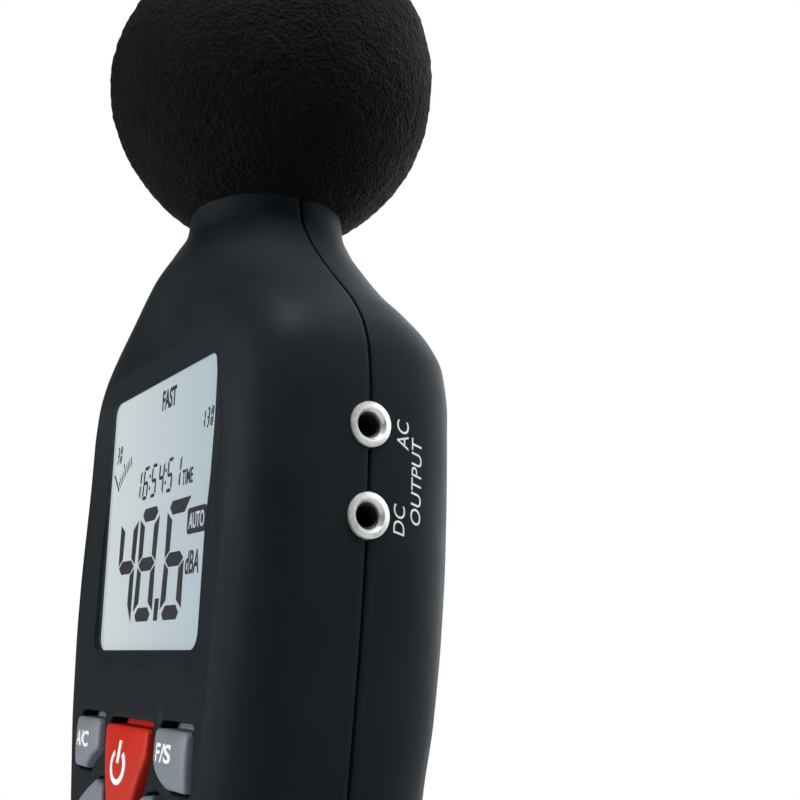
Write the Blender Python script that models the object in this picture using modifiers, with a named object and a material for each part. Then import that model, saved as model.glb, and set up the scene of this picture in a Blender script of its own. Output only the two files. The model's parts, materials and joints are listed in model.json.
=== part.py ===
"""Hand-held sound level meter with a foam windscreen.

The meter stands upright on its flat base: +Z up, the display facing -Y, the two 3.5 mm
sockets on the +X side. The case halves meet in the plane Y = 0. The numbers below are
millimetres; every helper multiplies by MM when it makes geometry.
"""

import math

import bmesh
import bpy
from mathutils import Matrix, Vector

MM = 0.001
GAP = 0.3            # clearance between neighbouring pieces
SEAM = 0.2           # half of the parting gap between the case halves
SEAM_BAND = 0.8      # straight edge of each half beside the gap
WALL = 2.2           # case wall thickness

# Case stations from the base up: height, half width, front depth, rear depth, and the
# exponents of the front and rear superellipse quarters (2 is round, higher is squarer).
CASE_STATIONS = [
    (3.0, 26.0, 15.0, 15.6, 3.2, 2.8),
    (25.0, 26.8, 15.6, 16.4, 3.2, 2.8),
    (50.0, 26.2, 16.2, 16.8, 3.4, 2.8),
    (75.0, 26.8, 17.4, 17.4, 4.0, 2.8),
    (92.0, 28.6, 18.6, 18.2, 4.6, 2.8),
    (109.0, 30.8, 19.0, 19.4, 5.0, 2.8),
    (119.0, 32.0, 19.1, 20.4, 5.2, 2.9),
    (130.0, 33.2, 19.1, 21.0, 5.1, 2.9),
    (141.0, 34.0, 18.9, 21.2, 4.9, 2.9),
    (152.0, 34.3, 18.7, 21.2, 4.8, 2.9),
    (160.0, 34.3, 18.6, 21.2, 4.8, 2.9),
    (166.0, 33.7, 18.5, 20.6, 4.6, 2.9),
    (170.0, 32.2, 18.3, 19.6, 4.2, 2.7),
    (174.0, 29.2, 17.9, 18.0, 3.6, 2.4),
    (178.0, 24.9, 17.4, 16.2, 3.0, 2.2),
    (183.4, 19.2, 16.3, 14.8, 2.5, 2.1),
    (188.0, 15.4, 14.2, 13.5, 2.2, 2.0),
    (191.5, 13.4, 12.7, 12.7, 2.0, 2.0),
    (196.5, 12.4, 12.4, 12.4, 2.0, 2.0),
]
CASE_RINGS = 21          # rings between the first and the last station
SECTION_STEPS = 16       # segments round each case half
BASE_FILLET = 3.0
NECK_FILLET = 1.5
NECK_TOP = CASE_STATIONS[-1][0] + NECK_FILLET
MIC_HOLE_RADIUS = 7.0

# Display
WINDOW_HALF_WIDTH = 20.9
WINDOW_BOTTOM, WINDOW_TOP = 126.9, 166.4
WINDOW_CORNER = 2.2
LIP_FRONT_Y, LIP_BACK_Y = -16.4, -15.85   # the rim of the window opening
SURROUND_HALF_WIDTH = 26.0                # outer edge of the slope round the window
SURROUND_BOTTOM, SURROUND_TOP = 124.1, 168.4
SURROUND_CORNER = 6.0
SURROUND_SIDE_Y, SURROUND_TOP_Y = -17.5, -18.4
DISPLAY_ROOM = (24.5, 123.7, 169.3)       # half width, bottom and top of the space behind the opening
LENS_FRONT_Y, LENS_THICK = -16.35, 0.5
GLASS_FRONT_Y, GLASS_THICK = -15.55, 1.8
BACKLIGHT_FRONT_Y, BACKLIGHT_THICK = -13.45, 1.6
BOARD_FRONT_Y, BOARD_THICK = -9.2, 1.6

# Keypad: the keys stand in a shallow panel under the display
PANEL_Y = -17.5
PANEL_OUTLINE = [(20.0, 84.0), (21.4, 90.0), (22.8, 104.0), (24.4, 117.0), (25.0, 124.0)]
PANEL_BACK_Y = -15.3
KEY_TOP_Y = -18.4
KEY_TRAVEL = 1.0
KEY_CLEARANCE = 0.45     # between a key and its opening
KEY_TOP_CLEARANCE = 1.0  # above a key
KEY_CORNER = 0.8
FLANGE_MARGIN = 0.7
FLANGE_FRONT_Y, FLANGE_THICK = -14.9, 0.8
STEM_HALF = 2.0
STEM_END_Y = BOARD_FRONT_Y - GAP - KEY_TRAVEL
MAT_FRONT_Y, MAT_THICK = -12.3, 0.9

KEY_ROW_TOP = 116.7
POWER_OUTLINE = [
    (-8.6, KEY_ROW_TOP), (-8.3, 113.0), (-1.2, 99.4), (1.2, 99.4), (8.3, 113.0), (8.6, KEY_ROW_TOP)]
UPPER_KEY = [(11.5, KEY_ROW_TOP), (11.3, 112.8), (16.5, 109.6), (22.2, 109.6), (22.3, KEY_ROW_TOP)]
MIDDLE_KEY = [(7.9, 108.0), (2.4, 97.4), (21.2, 97.4), (21.8, 102.3), (11.4, 108.5)]
LOWER_KEY = [(8.2, 95.0), (8.2, 88.0), (19.6, 88.0), (20.3, 95.0)]
CENTRE_KEY = [(-5.8, 95.0), (-5.8, 88.0), (5.8, 88.0), (5.8, 95.0)]

# Sockets, in the parting plane
SOCKET_Z = (155.9, 144.1)
JACK_RING_RADIUS, JACK_HOLE_RADIUS = 3.0, 1.8
SOCKET_OUT = 34.6        # X of the outer faces of the jack rings and the power inlet
JACK_BODY = (20.0, 31.4)  # inner and outer X of the socket body
SIDE_CUT = (28.0, 40.0)  # X range of every cutter through the case sides
USB_HALF_HEIGHT, USB_HALF_DEPTH, USB_HOLLOW = 3.9, 2.0, 0.5
USB_CLEARANCE = 0.4
INLET_NOSE_RADIUS, INLET_BORE_RADIUS, INLET_PIN_RADIUS = 3.3, 2.6, 0.65
TRIMMER_Z, TRIMMER_HOLE_RADIUS, TRIMMER_HALF = 133.0, 1.9, 3.2
SOCKET_BOARD_FRONT_Y = 3.3

# Microphone and windscreen
SLEEVE_RADIUS, SLEEVE_BORE = 6.35, 5.5
SLEEVE_BOTTOM, SLEEVE_TOP = 184.0, 221.5
GRID_TOP, GRID_THICK = 225.6, 0.9
CAPSULE_RADIUS, CAPSULE_BOTTOM, CAPSULE_TOP = 5.2, 209.0, 219.5
GROMMET_RADIUS, GROMMET_BOTTOM, GROMMET_TOP = 9.7, 189.0, 195.2
LEAD_RADIUS = 1.0
FOAM_RADIUS, FOAM_CENTRE_Z = 26.0, 219.2
FOAM_SEAT_RADIUS = CASE_STATIONS[-1][1] + GAP

# Power and fasteners
DOOR_HALF_WIDTH, DOOR_BOTTOM, DOOR_TOP, DOOR_CORNER, DOOR_GAP = 15.5, 9.0, 70.0, 2.0, 0.4
BATTERY_HALF_WIDTH, BATTERY_FRONT_Y, BATTERY_BACK_Y = 13.2, -4.4, 13.0
BATTERY_BOTTOM, BATTERY_TOP = 12.0, 58.4
TERMINAL_X, TERMINAL_HEIGHT = 6.35, 2.1
TRAY_WALL = 1.2
SCREW_PLACES = [(16.0, 172.0), (18.5, 77.0)]
SCREW_SEAT_Y = 8.0       # floor of the screw head pockets in the rear half
HEAD_RADIUS, SHANK_RADIUS = 2.6, 1.2
PILOT_RADIUS, SHANK_HOLE_RADIUS = 1.5, 1.6
POST_RADIUS = 2.6
BOARD_SCREW_X, BOARD_SCREW_Z, BOARD_POST_RADIUS = 23.4, 120.6, 2.2
TRIPOD_Z, TRIPOD_RADIUS, TRIPOD_FACE_Y, TRIPOD_BORE_RADIUS = 96.0, 5.0, 18.7, 2.6
OUTSIDE_Y = 26.0         # clear of the case, in front or behind

COLOURS = {
    "case": ((0.018, 0.021, 0.024), 0.42, 0.0),
    "foam": ((0.006, 0.006, 0.007), 1.0, 0.0),
    "key_grey": ((0.21, 0.23, 0.26), 0.5, 0.0),
    "key_red": ((0.62, 0.04, 0.02), 0.45, 0.0),
    "lens": ((0.80, 0.84, 0.90), 0.08, 0.0),
    "lcd": ((0.62, 0.66, 0.74), 0.2, 0.0),
    "backlight": ((0.85, 0.88, 0.92), 0.5, 0.0),
    "white_plastic": ((0.75, 0.75, 0.72), 0.5, 0.0),
    "rubber": ((0.02, 0.02, 0.02), 0.85, 0.0),
    "board": ((0.02, 0.16, 0.07), 0.45, 0.0),
    "black_plastic": ((0.02, 0.02, 0.02), 0.5, 0.0),
    "nickel": ((0.80, 0.78, 0.72), 0.22, 1.0),
    "steel": ((0.50, 0.50, 0.50), 0.35, 1.0),
    "aluminium": ((0.62, 0.63, 0.64), 0.35, 1.0),
    "brass": ((0.72, 0.52, 0.22), 0.35, 1.0),
    "battery_can": ((0.35, 0.27, 0.12), 0.35, 0.0),
    "lead_red": ((0.55, 0.02, 0.02), 0.5, 0.0),
    "lead_black": ((0.02, 0.02, 0.02), 0.5, 0.0),
    "trimmer_plastic": ((0.02, 0.06, 0.22), 0.4, 0.0),
}


# ---------------------------------------------------------------- scene and materials

def clear_scene():
    for old in list(bpy.data.objects):
        bpy.data.objects.remove(old, do_unlink=True)


def new_collection(name):
    made = bpy.data.collections.new(name)
    bpy.context.scene.collection.children.link(made)
    return made


def material(slot):
    found = bpy.data.materials.get(slot)
    if found:
        return found
    colour, roughness, metallic = COLOURS[slot]
    made = bpy.data.materials.new(slot)
    made.use_nodes = True
    shader = made.node_tree.nodes["Principled BSDF"]
    shader.inputs["Base Color"].default_value = (*colour, 1.0)
    shader.inputs["Roughness"].default_value = roughness
    shader.inputs["Metallic"].default_value = metallic
    made.diffuse_color = (*colour, 1.0)
    return made


clear_scene()
PARTS = new_collection("sound_level_meter")
CUTTERS = new_collection("cutters")


def add(name, mesh, slot, at=(0.0, 0.0, 0.0), parent=None):
    """An object in the parts collection, or a hidden cutter where slot is None."""
    made = bpy.data.objects.new(name, mesh)
    if slot:
        PARTS.objects.link(made)
        if not mesh.materials:
            mesh.materials.append(material(slot))
    else:
        CUTTERS.objects.link(made)
        made.hide_render = True
        made.display_type = "WIRE"
    made.location = Vector(at) * MM
    made.parent = parent
    return made


# ---------------------------------------------------------------- shape helpers

LONGEST_REACH = 0.48     # share of an edge that one corner arc may use


def mesh_of(name, bm):
    bmesh.ops.scale(bm, vec=(MM, MM, MM), verts=bm.verts)
    mesh = bpy.data.meshes.new(name)
    bm.to_mesh(mesh)
    bm.free()
    return mesh


def box_mesh(name, low, high):
    bm = bmesh.new()
    bmesh.ops.create_cube(bm, size=1.0)
    size = [b - a for a, b in zip(low, high)]
    middle = [(a + b) / 2 for a, b in zip(low, high)]
    bmesh.ops.scale(bm, vec=size, verts=bm.verts)
    bmesh.ops.translate(bm, vec=middle, verts=bm.verts)
    return mesh_of(name, bm)


def cylinder_mesh(name, radius, start, end, along, segments=32):
    """A cylinder from start to end; along is "X", "Y" or "Z"."""
    bm = bmesh.new()
    axis = "XYZ".index(along)
    length = end[axis] - start[axis]
    bmesh.ops.create_cone(bm, cap_ends=True, segments=segments, radius1=radius, radius2=radius, depth=length)
    if along == "X":
        bmesh.ops.rotate(bm, matrix=Matrix.Rotation(math.pi / 2, 3, "Y"), verts=bm.verts)
    if along == "Y":
        bmesh.ops.rotate(bm, matrix=Matrix.Rotation(math.pi / 2, 3, "X"), verts=bm.verts)
    middle = [(a + b) / 2 for a, b in zip(start, end)]
    bmesh.ops.translate(bm, vec=middle, verts=bm.verts)
    bmesh.ops.recalc_face_normals(bm, faces=bm.faces)
    return mesh_of(name, bm)


def fillet(outline, radius, steps=3):
    """The closed outline with each corner replaced by an arc."""
    rounded = []
    count = len(outline)
    for i in range(count):
        before = Vector(outline[i - 1])
        corner = Vector(outline[i])
        after = Vector(outline[(i + 1) % count])
        into = (before - corner).normalized()
        out = (after - corner).normalized()
        half = into.angle(out) / 2
        longest = min((before - corner).length, (after - corner).length) * LONGEST_REACH
        reach = min(radius / math.tan(half), longest)
        arc_radius = reach * math.tan(half)
        centre = corner + (into + out).normalized() * (arc_radius / math.sin(half))
        start = corner + into * reach - centre
        turn = start.angle_signed(corner + out * reach - centre)
        for step in range(steps + 1):
            rounded.append(tuple(centre + Matrix.Rotation(-turn * step / steps, 2) @ start))
    return rounded


def grow(outline, by):
    """A convex outline moved outwards by a distance, its corners mitred."""
    middle = sum((Vector(p) for p in outline), Vector((0.0, 0.0))) / len(outline)
    grown = []
    count = len(outline)
    for i in range(count):
        corner = Vector(outline[i])
        normals = []
        for a, b in ((outline[i - 1], outline[i]), (outline[i], outline[(i + 1) % count])):
            edge = Vector(b) - Vector(a)
            normal = Vector((edge.y, -edge.x)).normalized()
            if normal.dot(corner - middle) < 0:
                normal.negate()
            normals.append(normal)
        mitre = (normals[0] + normals[1]).normalized()
        grown.append(tuple(corner + mitre * (by / mitre.dot(normals[0]))))
    return grown


def mirrored(outline):
    return [(-x, z) for x, z in reversed(outline)]


def rectangle(half_width, bottom, top):
    return [(-half_width, bottom), (half_width, bottom), (half_width, top), (-half_width, top)]


def plate_mesh(name, outlines, front, back):
    """Outlines in X and Z, the first one solid and the rest holes, as a plate between two Y levels."""
    curve = bpy.data.curves.new(name, "CURVE")
    curve.dimensions = "2D"
    curve.fill_mode = "BOTH"
    curve.extrude = (back - front) / 2 * MM
    for outline in outlines:
        spline = curve.splines.new("POLY")
        spline.points.add(len(outline) - 1)
        for point, (x, z) in zip(spline.points, outline):
            point.co = (x * MM, z * MM, 0.0, 1.0)
        spline.use_cyclic_u = True
    holder = bpy.data.objects.new(name, curve)
    CUTTERS.objects.link(holder)
    turned_up = Matrix.Rotation(math.pi / 2, 4, "X")
    holder.matrix_world = Matrix.Translation((0.0, (front + back) / 2 * MM, 0.0)) @ turned_up
    return solid_from_curve(holder)


def solid_from_curve(holder):
    """A closed mesh of a curve object, in world coordinates; the curve is removed."""
    bpy.context.view_layer.update()
    evaluated = holder.evaluated_get(bpy.context.evaluated_depsgraph_get())
    mesh = bpy.data.meshes.new_from_object(evaluated)
    mesh.transform(holder.matrix_world)
    bm = bmesh.new()
    bm.from_mesh(mesh)
    bmesh.ops.remove_doubles(bm, verts=bm.verts, dist=1e-6)
    bmesh.ops.recalc_face_normals(bm, faces=bm.faces)
    bm.to_mesh(mesh)
    bm.free()
    bpy.data.objects.remove(holder, do_unlink=True)
    return mesh


def turned(name, profile, slot, at=(0.0, 0.0, 0.0), axis="Z", steps=32, parent=None):
    """A solid of revolution: the profile is (radius, height) from the top of the outside to the bottom."""
    mesh = bpy.data.meshes.new(name)
    closed = profile[0][0] > 0 and profile[-1][0] > 0
    points = [(radius * MM, 0.0, height * MM) for radius, height in profile]
    edges = [(i, i + 1) for i in range(len(points) - 1)]
    if closed:
        edges.append((len(points) - 1, 0))
    mesh.from_pydata(points, edges, [])
    made = add(name, mesh, slot, at, parent)
    if axis == "X":
        made.rotation_euler = (0.0, math.pi / 2, 0.0)
    if axis == "Y":
        made.rotation_euler = (-math.pi / 2, 0.0, 0.0)
    screw = made.modifiers.new("screw", "SCREW")
    screw.steps = steps
    screw.render_steps = steps
    screw.use_merge_vertices = True
    screw.merge_threshold = 0.00001
    return made


def wire(name, points, radius, slot):
    """A round wire along a smooth curve through the points."""
    curve = bpy.data.curves.new(name, "CURVE")
    curve.dimensions = "3D"
    curve.bevel_depth = radius * MM
    curve.bevel_resolution = 2
    curve.use_fill_caps = True
    smooth = smooth_route(points, 3)
    spline = curve.splines.new("POLY")
    spline.points.add(len(smooth) - 1)
    for point, place in zip(spline.points, smooth):
        point.co = (*(place * MM), 1.0)
    holder = bpy.data.objects.new(name, curve)
    CUTTERS.objects.link(holder)
    return add(name, solid_from_curve(holder), slot)


def smooth_route(points, steps):
    """Catmull-Rom points through the given ones."""
    places = [Vector(p) for p in points]
    padded = [2 * places[0] - places[1], *places, 2 * places[-1] - places[-2]]
    route = []
    for a, b, c, d in zip(padded, padded[1:], padded[2:], padded[3:]):
        for step in range(steps):
            t = step / steps
            route.append(0.5 * (2 * b + (c - a) * t + (2 * a - 5 * b + 4 * c - d) * t**2
                                + (3 * b - a - 3 * c + d) * t**3))
    route.append(places[-1])
    return route


def combine(target, tool, operation):
    step = target.modifiers.new(tool.name, "BOOLEAN")
    step.operation = operation
    step.solver = "EXACT"
    step.object = tool


def cut(target, name, mesh):
    tool = add(name, mesh, None)
    combine(target, tool, "DIFFERENCE")
    return tool


def join(target, name, mesh):
    tool = add(name, mesh, None)
    combine(target, tool, "UNION")
    return tool


def soften(target, width, segments=2):
    bevel = target.modifiers.new("bevel", "BEVEL")
    bevel.width = width * MM
    bevel.segments = segments
    bevel.limit_method = "ANGLE"
    bevel.angle_limit = math.radians(40)


# ---------------------------------------------------------------- the case surface

def smooth_value(height, column):
    """A station value at any height: monotone cubic between the stations."""
    heights = [row[0] for row in CASE_STATIONS]
    values = [row[column] for row in CASE_STATIONS]
    steps = [b - a for a, b in zip(heights, heights[1:])]
    slopes = [(b - a) / h for a, b, h in zip(values, values[1:], steps)]
    tangents = [slopes[0]]
    for i in range(1, len(slopes)):
        if slopes[i - 1] * slopes[i] <= 0:
            tangents.append(0.0)
            continue
        w1 = 2 * steps[i] + steps[i - 1]
        w2 = steps[i] + 2 * steps[i - 1]
        tangents.append((w1 + w2) / (w1 / slopes[i - 1] + w2 / slopes[i]))
    tangents.append(slopes[-1])
    i = 0
    while i < len(steps) - 1 and height > heights[i + 1]:
        i += 1
    t = (height - heights[i]) / steps[i]
    return ((1 + 2 * t) * (1 - t) ** 2 * values[i] + t * (1 - t) ** 2 * steps[i] * tangents[i]
            + t * t * (3 - 2 * t) * values[i + 1] + t * t * (t - 1) * steps[i] * tangents[i + 1])


def section(height, front, inset=0.0):
    """Half of the case outline at a height, from +X round the front or the rear to -X."""
    half_width = smooth_value(height, 1) - inset
    start = SEAM + SEAM_BAND
    depth = smooth_value(height, 2 if front else 3) - inset - start
    power = 2.0 / smooth_value(height, 4 if front else 5)
    side = -1.0 if front else 1.0
    points = [(half_width, side * SEAM)]
    for step in range(SECTION_STEPS + 1):
        angle = math.pi * step / SECTION_STEPS
        c, s = math.cos(angle), math.sin(angle)
        x = half_width * math.copysign(abs(c) ** power, c)
        points.append((x, side * (start + depth * max(s, 0.0) ** power)))
    points.append((-half_width, side * SEAM))
    return points


def case_rings(front):
    """Rings of one case half: base fillet, wall, neck rim and the flange round the microphone."""
    bottom, top = CASE_STATIONS[0][0], CASE_STATIONS[-1][0]
    rings = []
    for step in range(3):
        angle = math.pi / 2 * step / 3
        inset = BASE_FILLET * (1 - math.sin(angle))
        height = bottom - BASE_FILLET * math.cos(angle)
        rings.append([(x, y, height) for x, y in section(bottom, front, inset)])
    for step in range(CASE_RINGS + 1):
        # closer rings in the shoulder, where the outline changes fastest
        share = step / CASE_RINGS
        height = bottom + (top - bottom) * (1 - (1 - share) ** 1.7)
        rings.append([(x, y, height) for x, y in section(height, front)])
    for step in range(1, 3):
        angle = math.pi / 2 * step / 2
        inset = NECK_FILLET * (1 - math.cos(angle))
        rings.append([(x, y, top + NECK_FILLET * math.sin(angle)) for x, y in section(top, front, inset)])
    flange_inset = CASE_STATIONS[-1][1] - MIC_HOLE_RADIUS
    rings.append([(x, y, NECK_TOP) for x, y in section(top, front, flange_inset)])
    return rings


def case_half(name, front, slot):
    """The open outer surface of one case half, thickened inwards."""
    bm = bmesh.new()
    rows = [[bm.verts.new(Vector(p) * MM) for p in ring] for ring in case_rings(front)]
    for low, high in zip(rows, rows[1:]):
        for i in range(len(low) - 1):
            bm.faces.new((low[i], low[i + 1], high[i + 1], high[i]))
    bm.faces.new(rows[0])
    bmesh.ops.recalc_face_normals(bm, faces=bm.faces)
    base = min(bm.faces, key=lambda face: face.calc_center_median().z)
    if base.normal.z > 0:
        bmesh.ops.reverse_faces(bm, faces=bm.faces)
    mesh = bpy.data.meshes.new(name)
    bm.to_mesh(mesh)
    bm.free()
    mesh.shade_smooth()
    mesh.set_sharp_from_angle(angle=math.radians(35))
    made = add(name, mesh, slot)
    shell = made.modifiers.new("wall", "SOLIDIFY")
    shell.thickness = WALL * MM
    shell.offset = -1.0
    shell.use_even_offset = True
    shell.use_quality_normals = True
    return made


def surround_mesh():
    """The cutter of the window opening and of the slope round it, steeper along the top."""
    lip = fillet(rectangle(WINDOW_HALF_WIDTH, WINDOW_BOTTOM, WINDOW_TOP), WINDOW_CORNER)
    outer = fillet(rectangle(SURROUND_HALF_WIDTH, SURROUND_BOTTOM, SURROUND_TOP), SURROUND_CORNER)
    corner_start = SURROUND_TOP - SURROUND_CORNER
    edge = []
    for x, z in outer:
        share = max(0.0, (z - corner_start) / SURROUND_CORNER)
        edge.append((x, SURROUND_SIDE_Y + (SURROUND_TOP_Y - SURROUND_SIDE_Y) * share, z))
    rows = [[(x, -12.0, z) for x, z in lip], [(x, LIP_FRONT_Y, z) for x, z in lip], edge,
            [(x, -OUTSIDE_Y, z) for x, z in outer]]
    bm = bmesh.new()
    rings = [[bm.verts.new(point) for point in row] for row in rows]
    for near, away in zip(rings, rings[1:]):
        for i in range(len(near)):
            j = (i + 1) % len(near)
            bm.faces.new((near[i], near[j], away[j], away[i]))
    bm.faces.new(rings[0])
    bm.faces.new(rings[-1])
    bmesh.ops.triangulate(bm, faces=bm.faces)
    bmesh.ops.recalc_face_normals(bm, faces=bm.faces)
    return mesh_of("surround_cutter", bm)


# ---------------------------------------------------------------- case pieces

def keys():
    """Every key's name, outline and material slot."""
    return [
        ("key_power", POWER_OUTLINE, "key_red"),
        ("key_ac_weighting", mirrored(UPPER_KEY), "key_grey"),
        ("key_fast_slow", UPPER_KEY, "key_grey"),
        ("key_max_min", mirrored(MIDDLE_KEY), "key_grey"),
        ("key_hold", MIDDLE_KEY, "key_grey"),
        ("key_level_up", mirrored(LOWER_KEY), "key_grey"),
        ("key_backlight", CENTRE_KEY, "key_grey"),
        ("key_level_down", LOWER_KEY, "key_grey"),
    ]


def key_opening(outline):
    """The outline of a key's opening, with more room above the key."""
    middle = outline_centre(outline)[1]
    grown = grow(outline, KEY_CLEARANCE)
    raised = [(x, z + KEY_TOP_CLEARANCE - KEY_CLEARANCE if z > middle else z) for x, z in grown]
    return fillet(raised, KEY_CORNER + KEY_CLEARANCE)


def socket_cutters(target, half):
    """Openings in the parting plane: two jacks, the data and power sockets and the trimmer."""
    near, away = SIDE_CUT
    for index, height in enumerate(SOCKET_Z):
        cut(target, f"{half}_jack_cut_{index}",
            cylinder_mesh("jack_cut", JACK_RING_RADIUS + GAP, (near, 0, height), (away, 0, height), "X", 24))
    usb_z, power_z = SOCKET_Z
    usb_y, usb_half = USB_HALF_DEPTH + GAP, USB_HALF_HEIGHT + USB_CLEARANCE
    cut(target, f"{half}_usb_cut",
        box_mesh("usb_cut", (-away, -usb_y, usb_z - usb_half), (-near, usb_y, usb_z + usb_half)))
    for name, height, radius, segments in (("power_cut", power_z, INLET_NOSE_RADIUS + GAP, 24),
                                           ("trim_cut", TRIMMER_Z, TRIMMER_HOLE_RADIUS, 16)):
        cut(target, f"{half}_{name}",
            cylinder_mesh(name, radius, (-away, 0, height), (-near, 0, height), "X", segments))


def front_shell():
    shell = case_half("front_shell", True, "case")
    backing = rectangle(23.4, 121.8, 168.4)
    join(shell, "display_backing", plate_mesh("display_backing", [fillet(backing, 3.0)], -17.25, -15.5))
    panel = PANEL_OUTLINE + mirrored(PANEL_OUTLINE)
    join(shell, "keypad_backing", plate_mesh("keypad_backing", [grow(panel, -1.0)], -17.2, PANEL_BACK_Y))
    for side in (-1, 1):
        for index, (x, z) in enumerate(SCREW_PLACES):
            join(shell, f"front_post_{side}_{index}",
                 cylinder_mesh("post", POST_RADIUS, (side * x, -15.0, z), (side * x, -0.5, z), "Y", 16))
        join(shell, f"board_post_{side}",
             cylinder_mesh("post", BOARD_POST_RADIUS, (side * BOARD_SCREW_X, -16.0, BOARD_SCREW_Z),
                           (side * BOARD_SCREW_X, BOARD_FRONT_Y - GAP, BOARD_SCREW_Z), "Y", 16))
    cut(shell, "panel_pocket", plate_mesh("panel_pocket", [fillet(panel, 2.0)], -OUTSIDE_Y, PANEL_Y))
    cut(shell, "surround", surround_mesh())
    room = fillet(rectangle(*DISPLAY_ROOM), 2.0)
    cut(shell, "display_room", plate_mesh("display_room", [room], LIP_BACK_Y, -11.0))
    for name, outline, _ in keys():
        opening = plate_mesh(f"{name}_opening", [key_opening(outline)], -OUTSIDE_Y, -12.0)
        cut(shell, f"{name}_opening", opening)
    for side in (-1, 1):
        for index, (x, z) in enumerate(SCREW_PLACES):
            cut(shell, f"front_pilot_{side}_{index}",
                cylinder_mesh("pilot", PILOT_RADIUS, (side * x, -9.0, z), (side * x, 2.0, z), "Y", 12))
        cut(shell, f"board_pilot_{side}",
            cylinder_mesh("pilot", 1.3, (side * BOARD_SCREW_X, -14.5, BOARD_SCREW_Z),
                          (side * BOARD_SCREW_X, -5.0, BOARD_SCREW_Z), "Y", 12))
    socket_cutters(shell, "front")
    return shell


def door_block(name, grown):
    outline = rectangle(DOOR_HALF_WIDTH + grown, DOOR_BOTTOM - grown, DOOR_TOP + grown)
    return plate_mesh(name, [fillet(outline, DOOR_CORNER + grown)], 5.0, OUTSIDE_Y)


def rear_shell():
    shell = case_half("rear_shell", False, "case")
    for side in (-1, 1):
        for index, (x, z) in enumerate(SCREW_PLACES):
            join(shell, f"rear_post_{side}_{index}",
                 cylinder_mesh("post", POST_RADIUS + 1.9, (side * x, 0.5, z), (side * x, 12.5, z), "Y", 20))
    boss_end = (0, TRIPOD_FACE_Y - 0.2, TRIPOD_Z)
    join(shell, "tripod_boss", cylinder_mesh("boss", TRIPOD_RADIUS + 3.0, (0, 12.0, TRIPOD_Z), boss_end, "Y"))
    cut(shell, "door_opening", door_block("door_opening", DOOR_GAP))
    for side in (-1, 1):
        for index, (x, z) in enumerate(SCREW_PLACES):
            cut(shell, f"head_pocket_{side}_{index}",
                cylinder_mesh("head_pocket", HEAD_RADIUS + GAP, (side * x, SCREW_SEAT_Y, z),
                              (side * x, OUTSIDE_Y, z), "Y", 20))
            cut(shell, f"shank_hole_{side}_{index}",
                cylinder_mesh("shank_hole", SHANK_HOLE_RADIUS, (side * x, -2.0, z),
                              (side * x, 12.0, z), "Y", 12))
    cut(shell, "tripod_hole",
        cylinder_mesh("tripod_hole", TRIPOD_RADIUS + GAP, (0, 8.0, TRIPOD_Z), (0, OUTSIDE_Y, TRIPOD_Z), "Y"))
    socket_cutters(shell, "rear")
    return shell


def battery_door():
    door = case_half("battery_door", False, "case")
    tool = add("door_shape", door_block("door_shape", 0.0), None)
    combine(door, tool, "INTERSECT")
    return door


# ---------------------------------------------------------------- display, boards and keys

def display():
    lens = rectangle(WINDOW_HALF_WIDTH - GAP, WINDOW_BOTTOM + GAP, WINDOW_TOP - GAP)
    lens = fillet(lens, WINDOW_CORNER - GAP)
    add("lcd_window", plate_mesh("lcd_window", [lens], LENS_FRONT_Y, LENS_FRONT_Y + LENS_THICK), "lens")
    glass = rectangle(22.4, 125.4, 167.8)
    add("lcd_glass", plate_mesh("lcd_glass", [glass], GLASS_FRONT_Y, GLASS_FRONT_Y + GLASS_THICK), "lcd")
    light = rectangle(21.2, 129.0, 164.8)
    light_back = BACKLIGHT_FRONT_Y + BACKLIGHT_THICK
    add("backlight_panel", plate_mesh("backlight_panel", [light], BACKLIGHT_FRONT_Y, light_back), "backlight")
    frame = [fillet(rectangle(24.0, 124.2, 168.8), 2.0), rectangle(22.8, 125.0, 168.2)]
    add("lcd_frame", plate_mesh("lcd_frame", frame, GLASS_FRONT_Y, BOARD_FRONT_Y - GAP), "white_plastic")
    for name, low in (("contact_strip_lower", 126.3), ("contact_strip_upper", 165.4)):
        strip = box_mesh(name, (-20.0, BACKLIGHT_FRONT_Y, low), (20.0, BOARD_FRONT_Y - GAP, low + 2.1))
        add(name, strip, "rubber")


def boards():
    right = [(15.2, 70.0), (15.2, 81.0), (21.8, 82.5), (22.8, 104.0), (28.0, 126.0), (27.0, 169.0)]
    holes = [circle(side * BOARD_SCREW_X, BOARD_SCREW_Z, 1.4, 12) for side in (-1, 1)]
    back = BOARD_FRONT_Y + BOARD_THICK
    outlines = [right + mirrored(right), *holes]
    add("main_board", plate_mesh("main_board", outlines, BOARD_FRONT_Y, back), "board")
    add("processor_chip", box_mesh("processor_chip", (-7.0, back + GAP, 104.0), (7.0, back + 1.8, 118.0)),
        "black_plastic")
    add("board_connector", box_mesh("board_connector", (-11.0, back + GAP, 130.5), (11.0, 3.0, 135.5)),
        "black_plastic")
    sockets = rectangle(30.0, 128.0, 160.0)
    front = SOCKET_BOARD_FRONT_Y
    add("socket_board", plate_mesh("socket_board", [sockets], front, front + BOARD_THICK), "board")
    add("preamp_board", box_mesh("preamp_board", (-4.4, -0.6, 187.0), (4.4, 0.6, 208.0)), "board")
    for side, name in ((-1, "board_screw_left"), (1, "board_screw_right")):
        profile = [(0.0, 1.6), (1.9, 1.2), (1.9, 0.0), (1.0, 0.0), (1.0, -6.0), (0.0, -6.0)]
        turned(name, profile, "steel", (side * BOARD_SCREW_X, back + GAP, BOARD_SCREW_Z), "Y", 16)


def circle(x, z, radius, segments):
    angles = [2 * math.pi * i / segments for i in range(segments)]
    return [(x + radius * math.cos(angle), z + radius * math.sin(angle)) for angle in angles]


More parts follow.
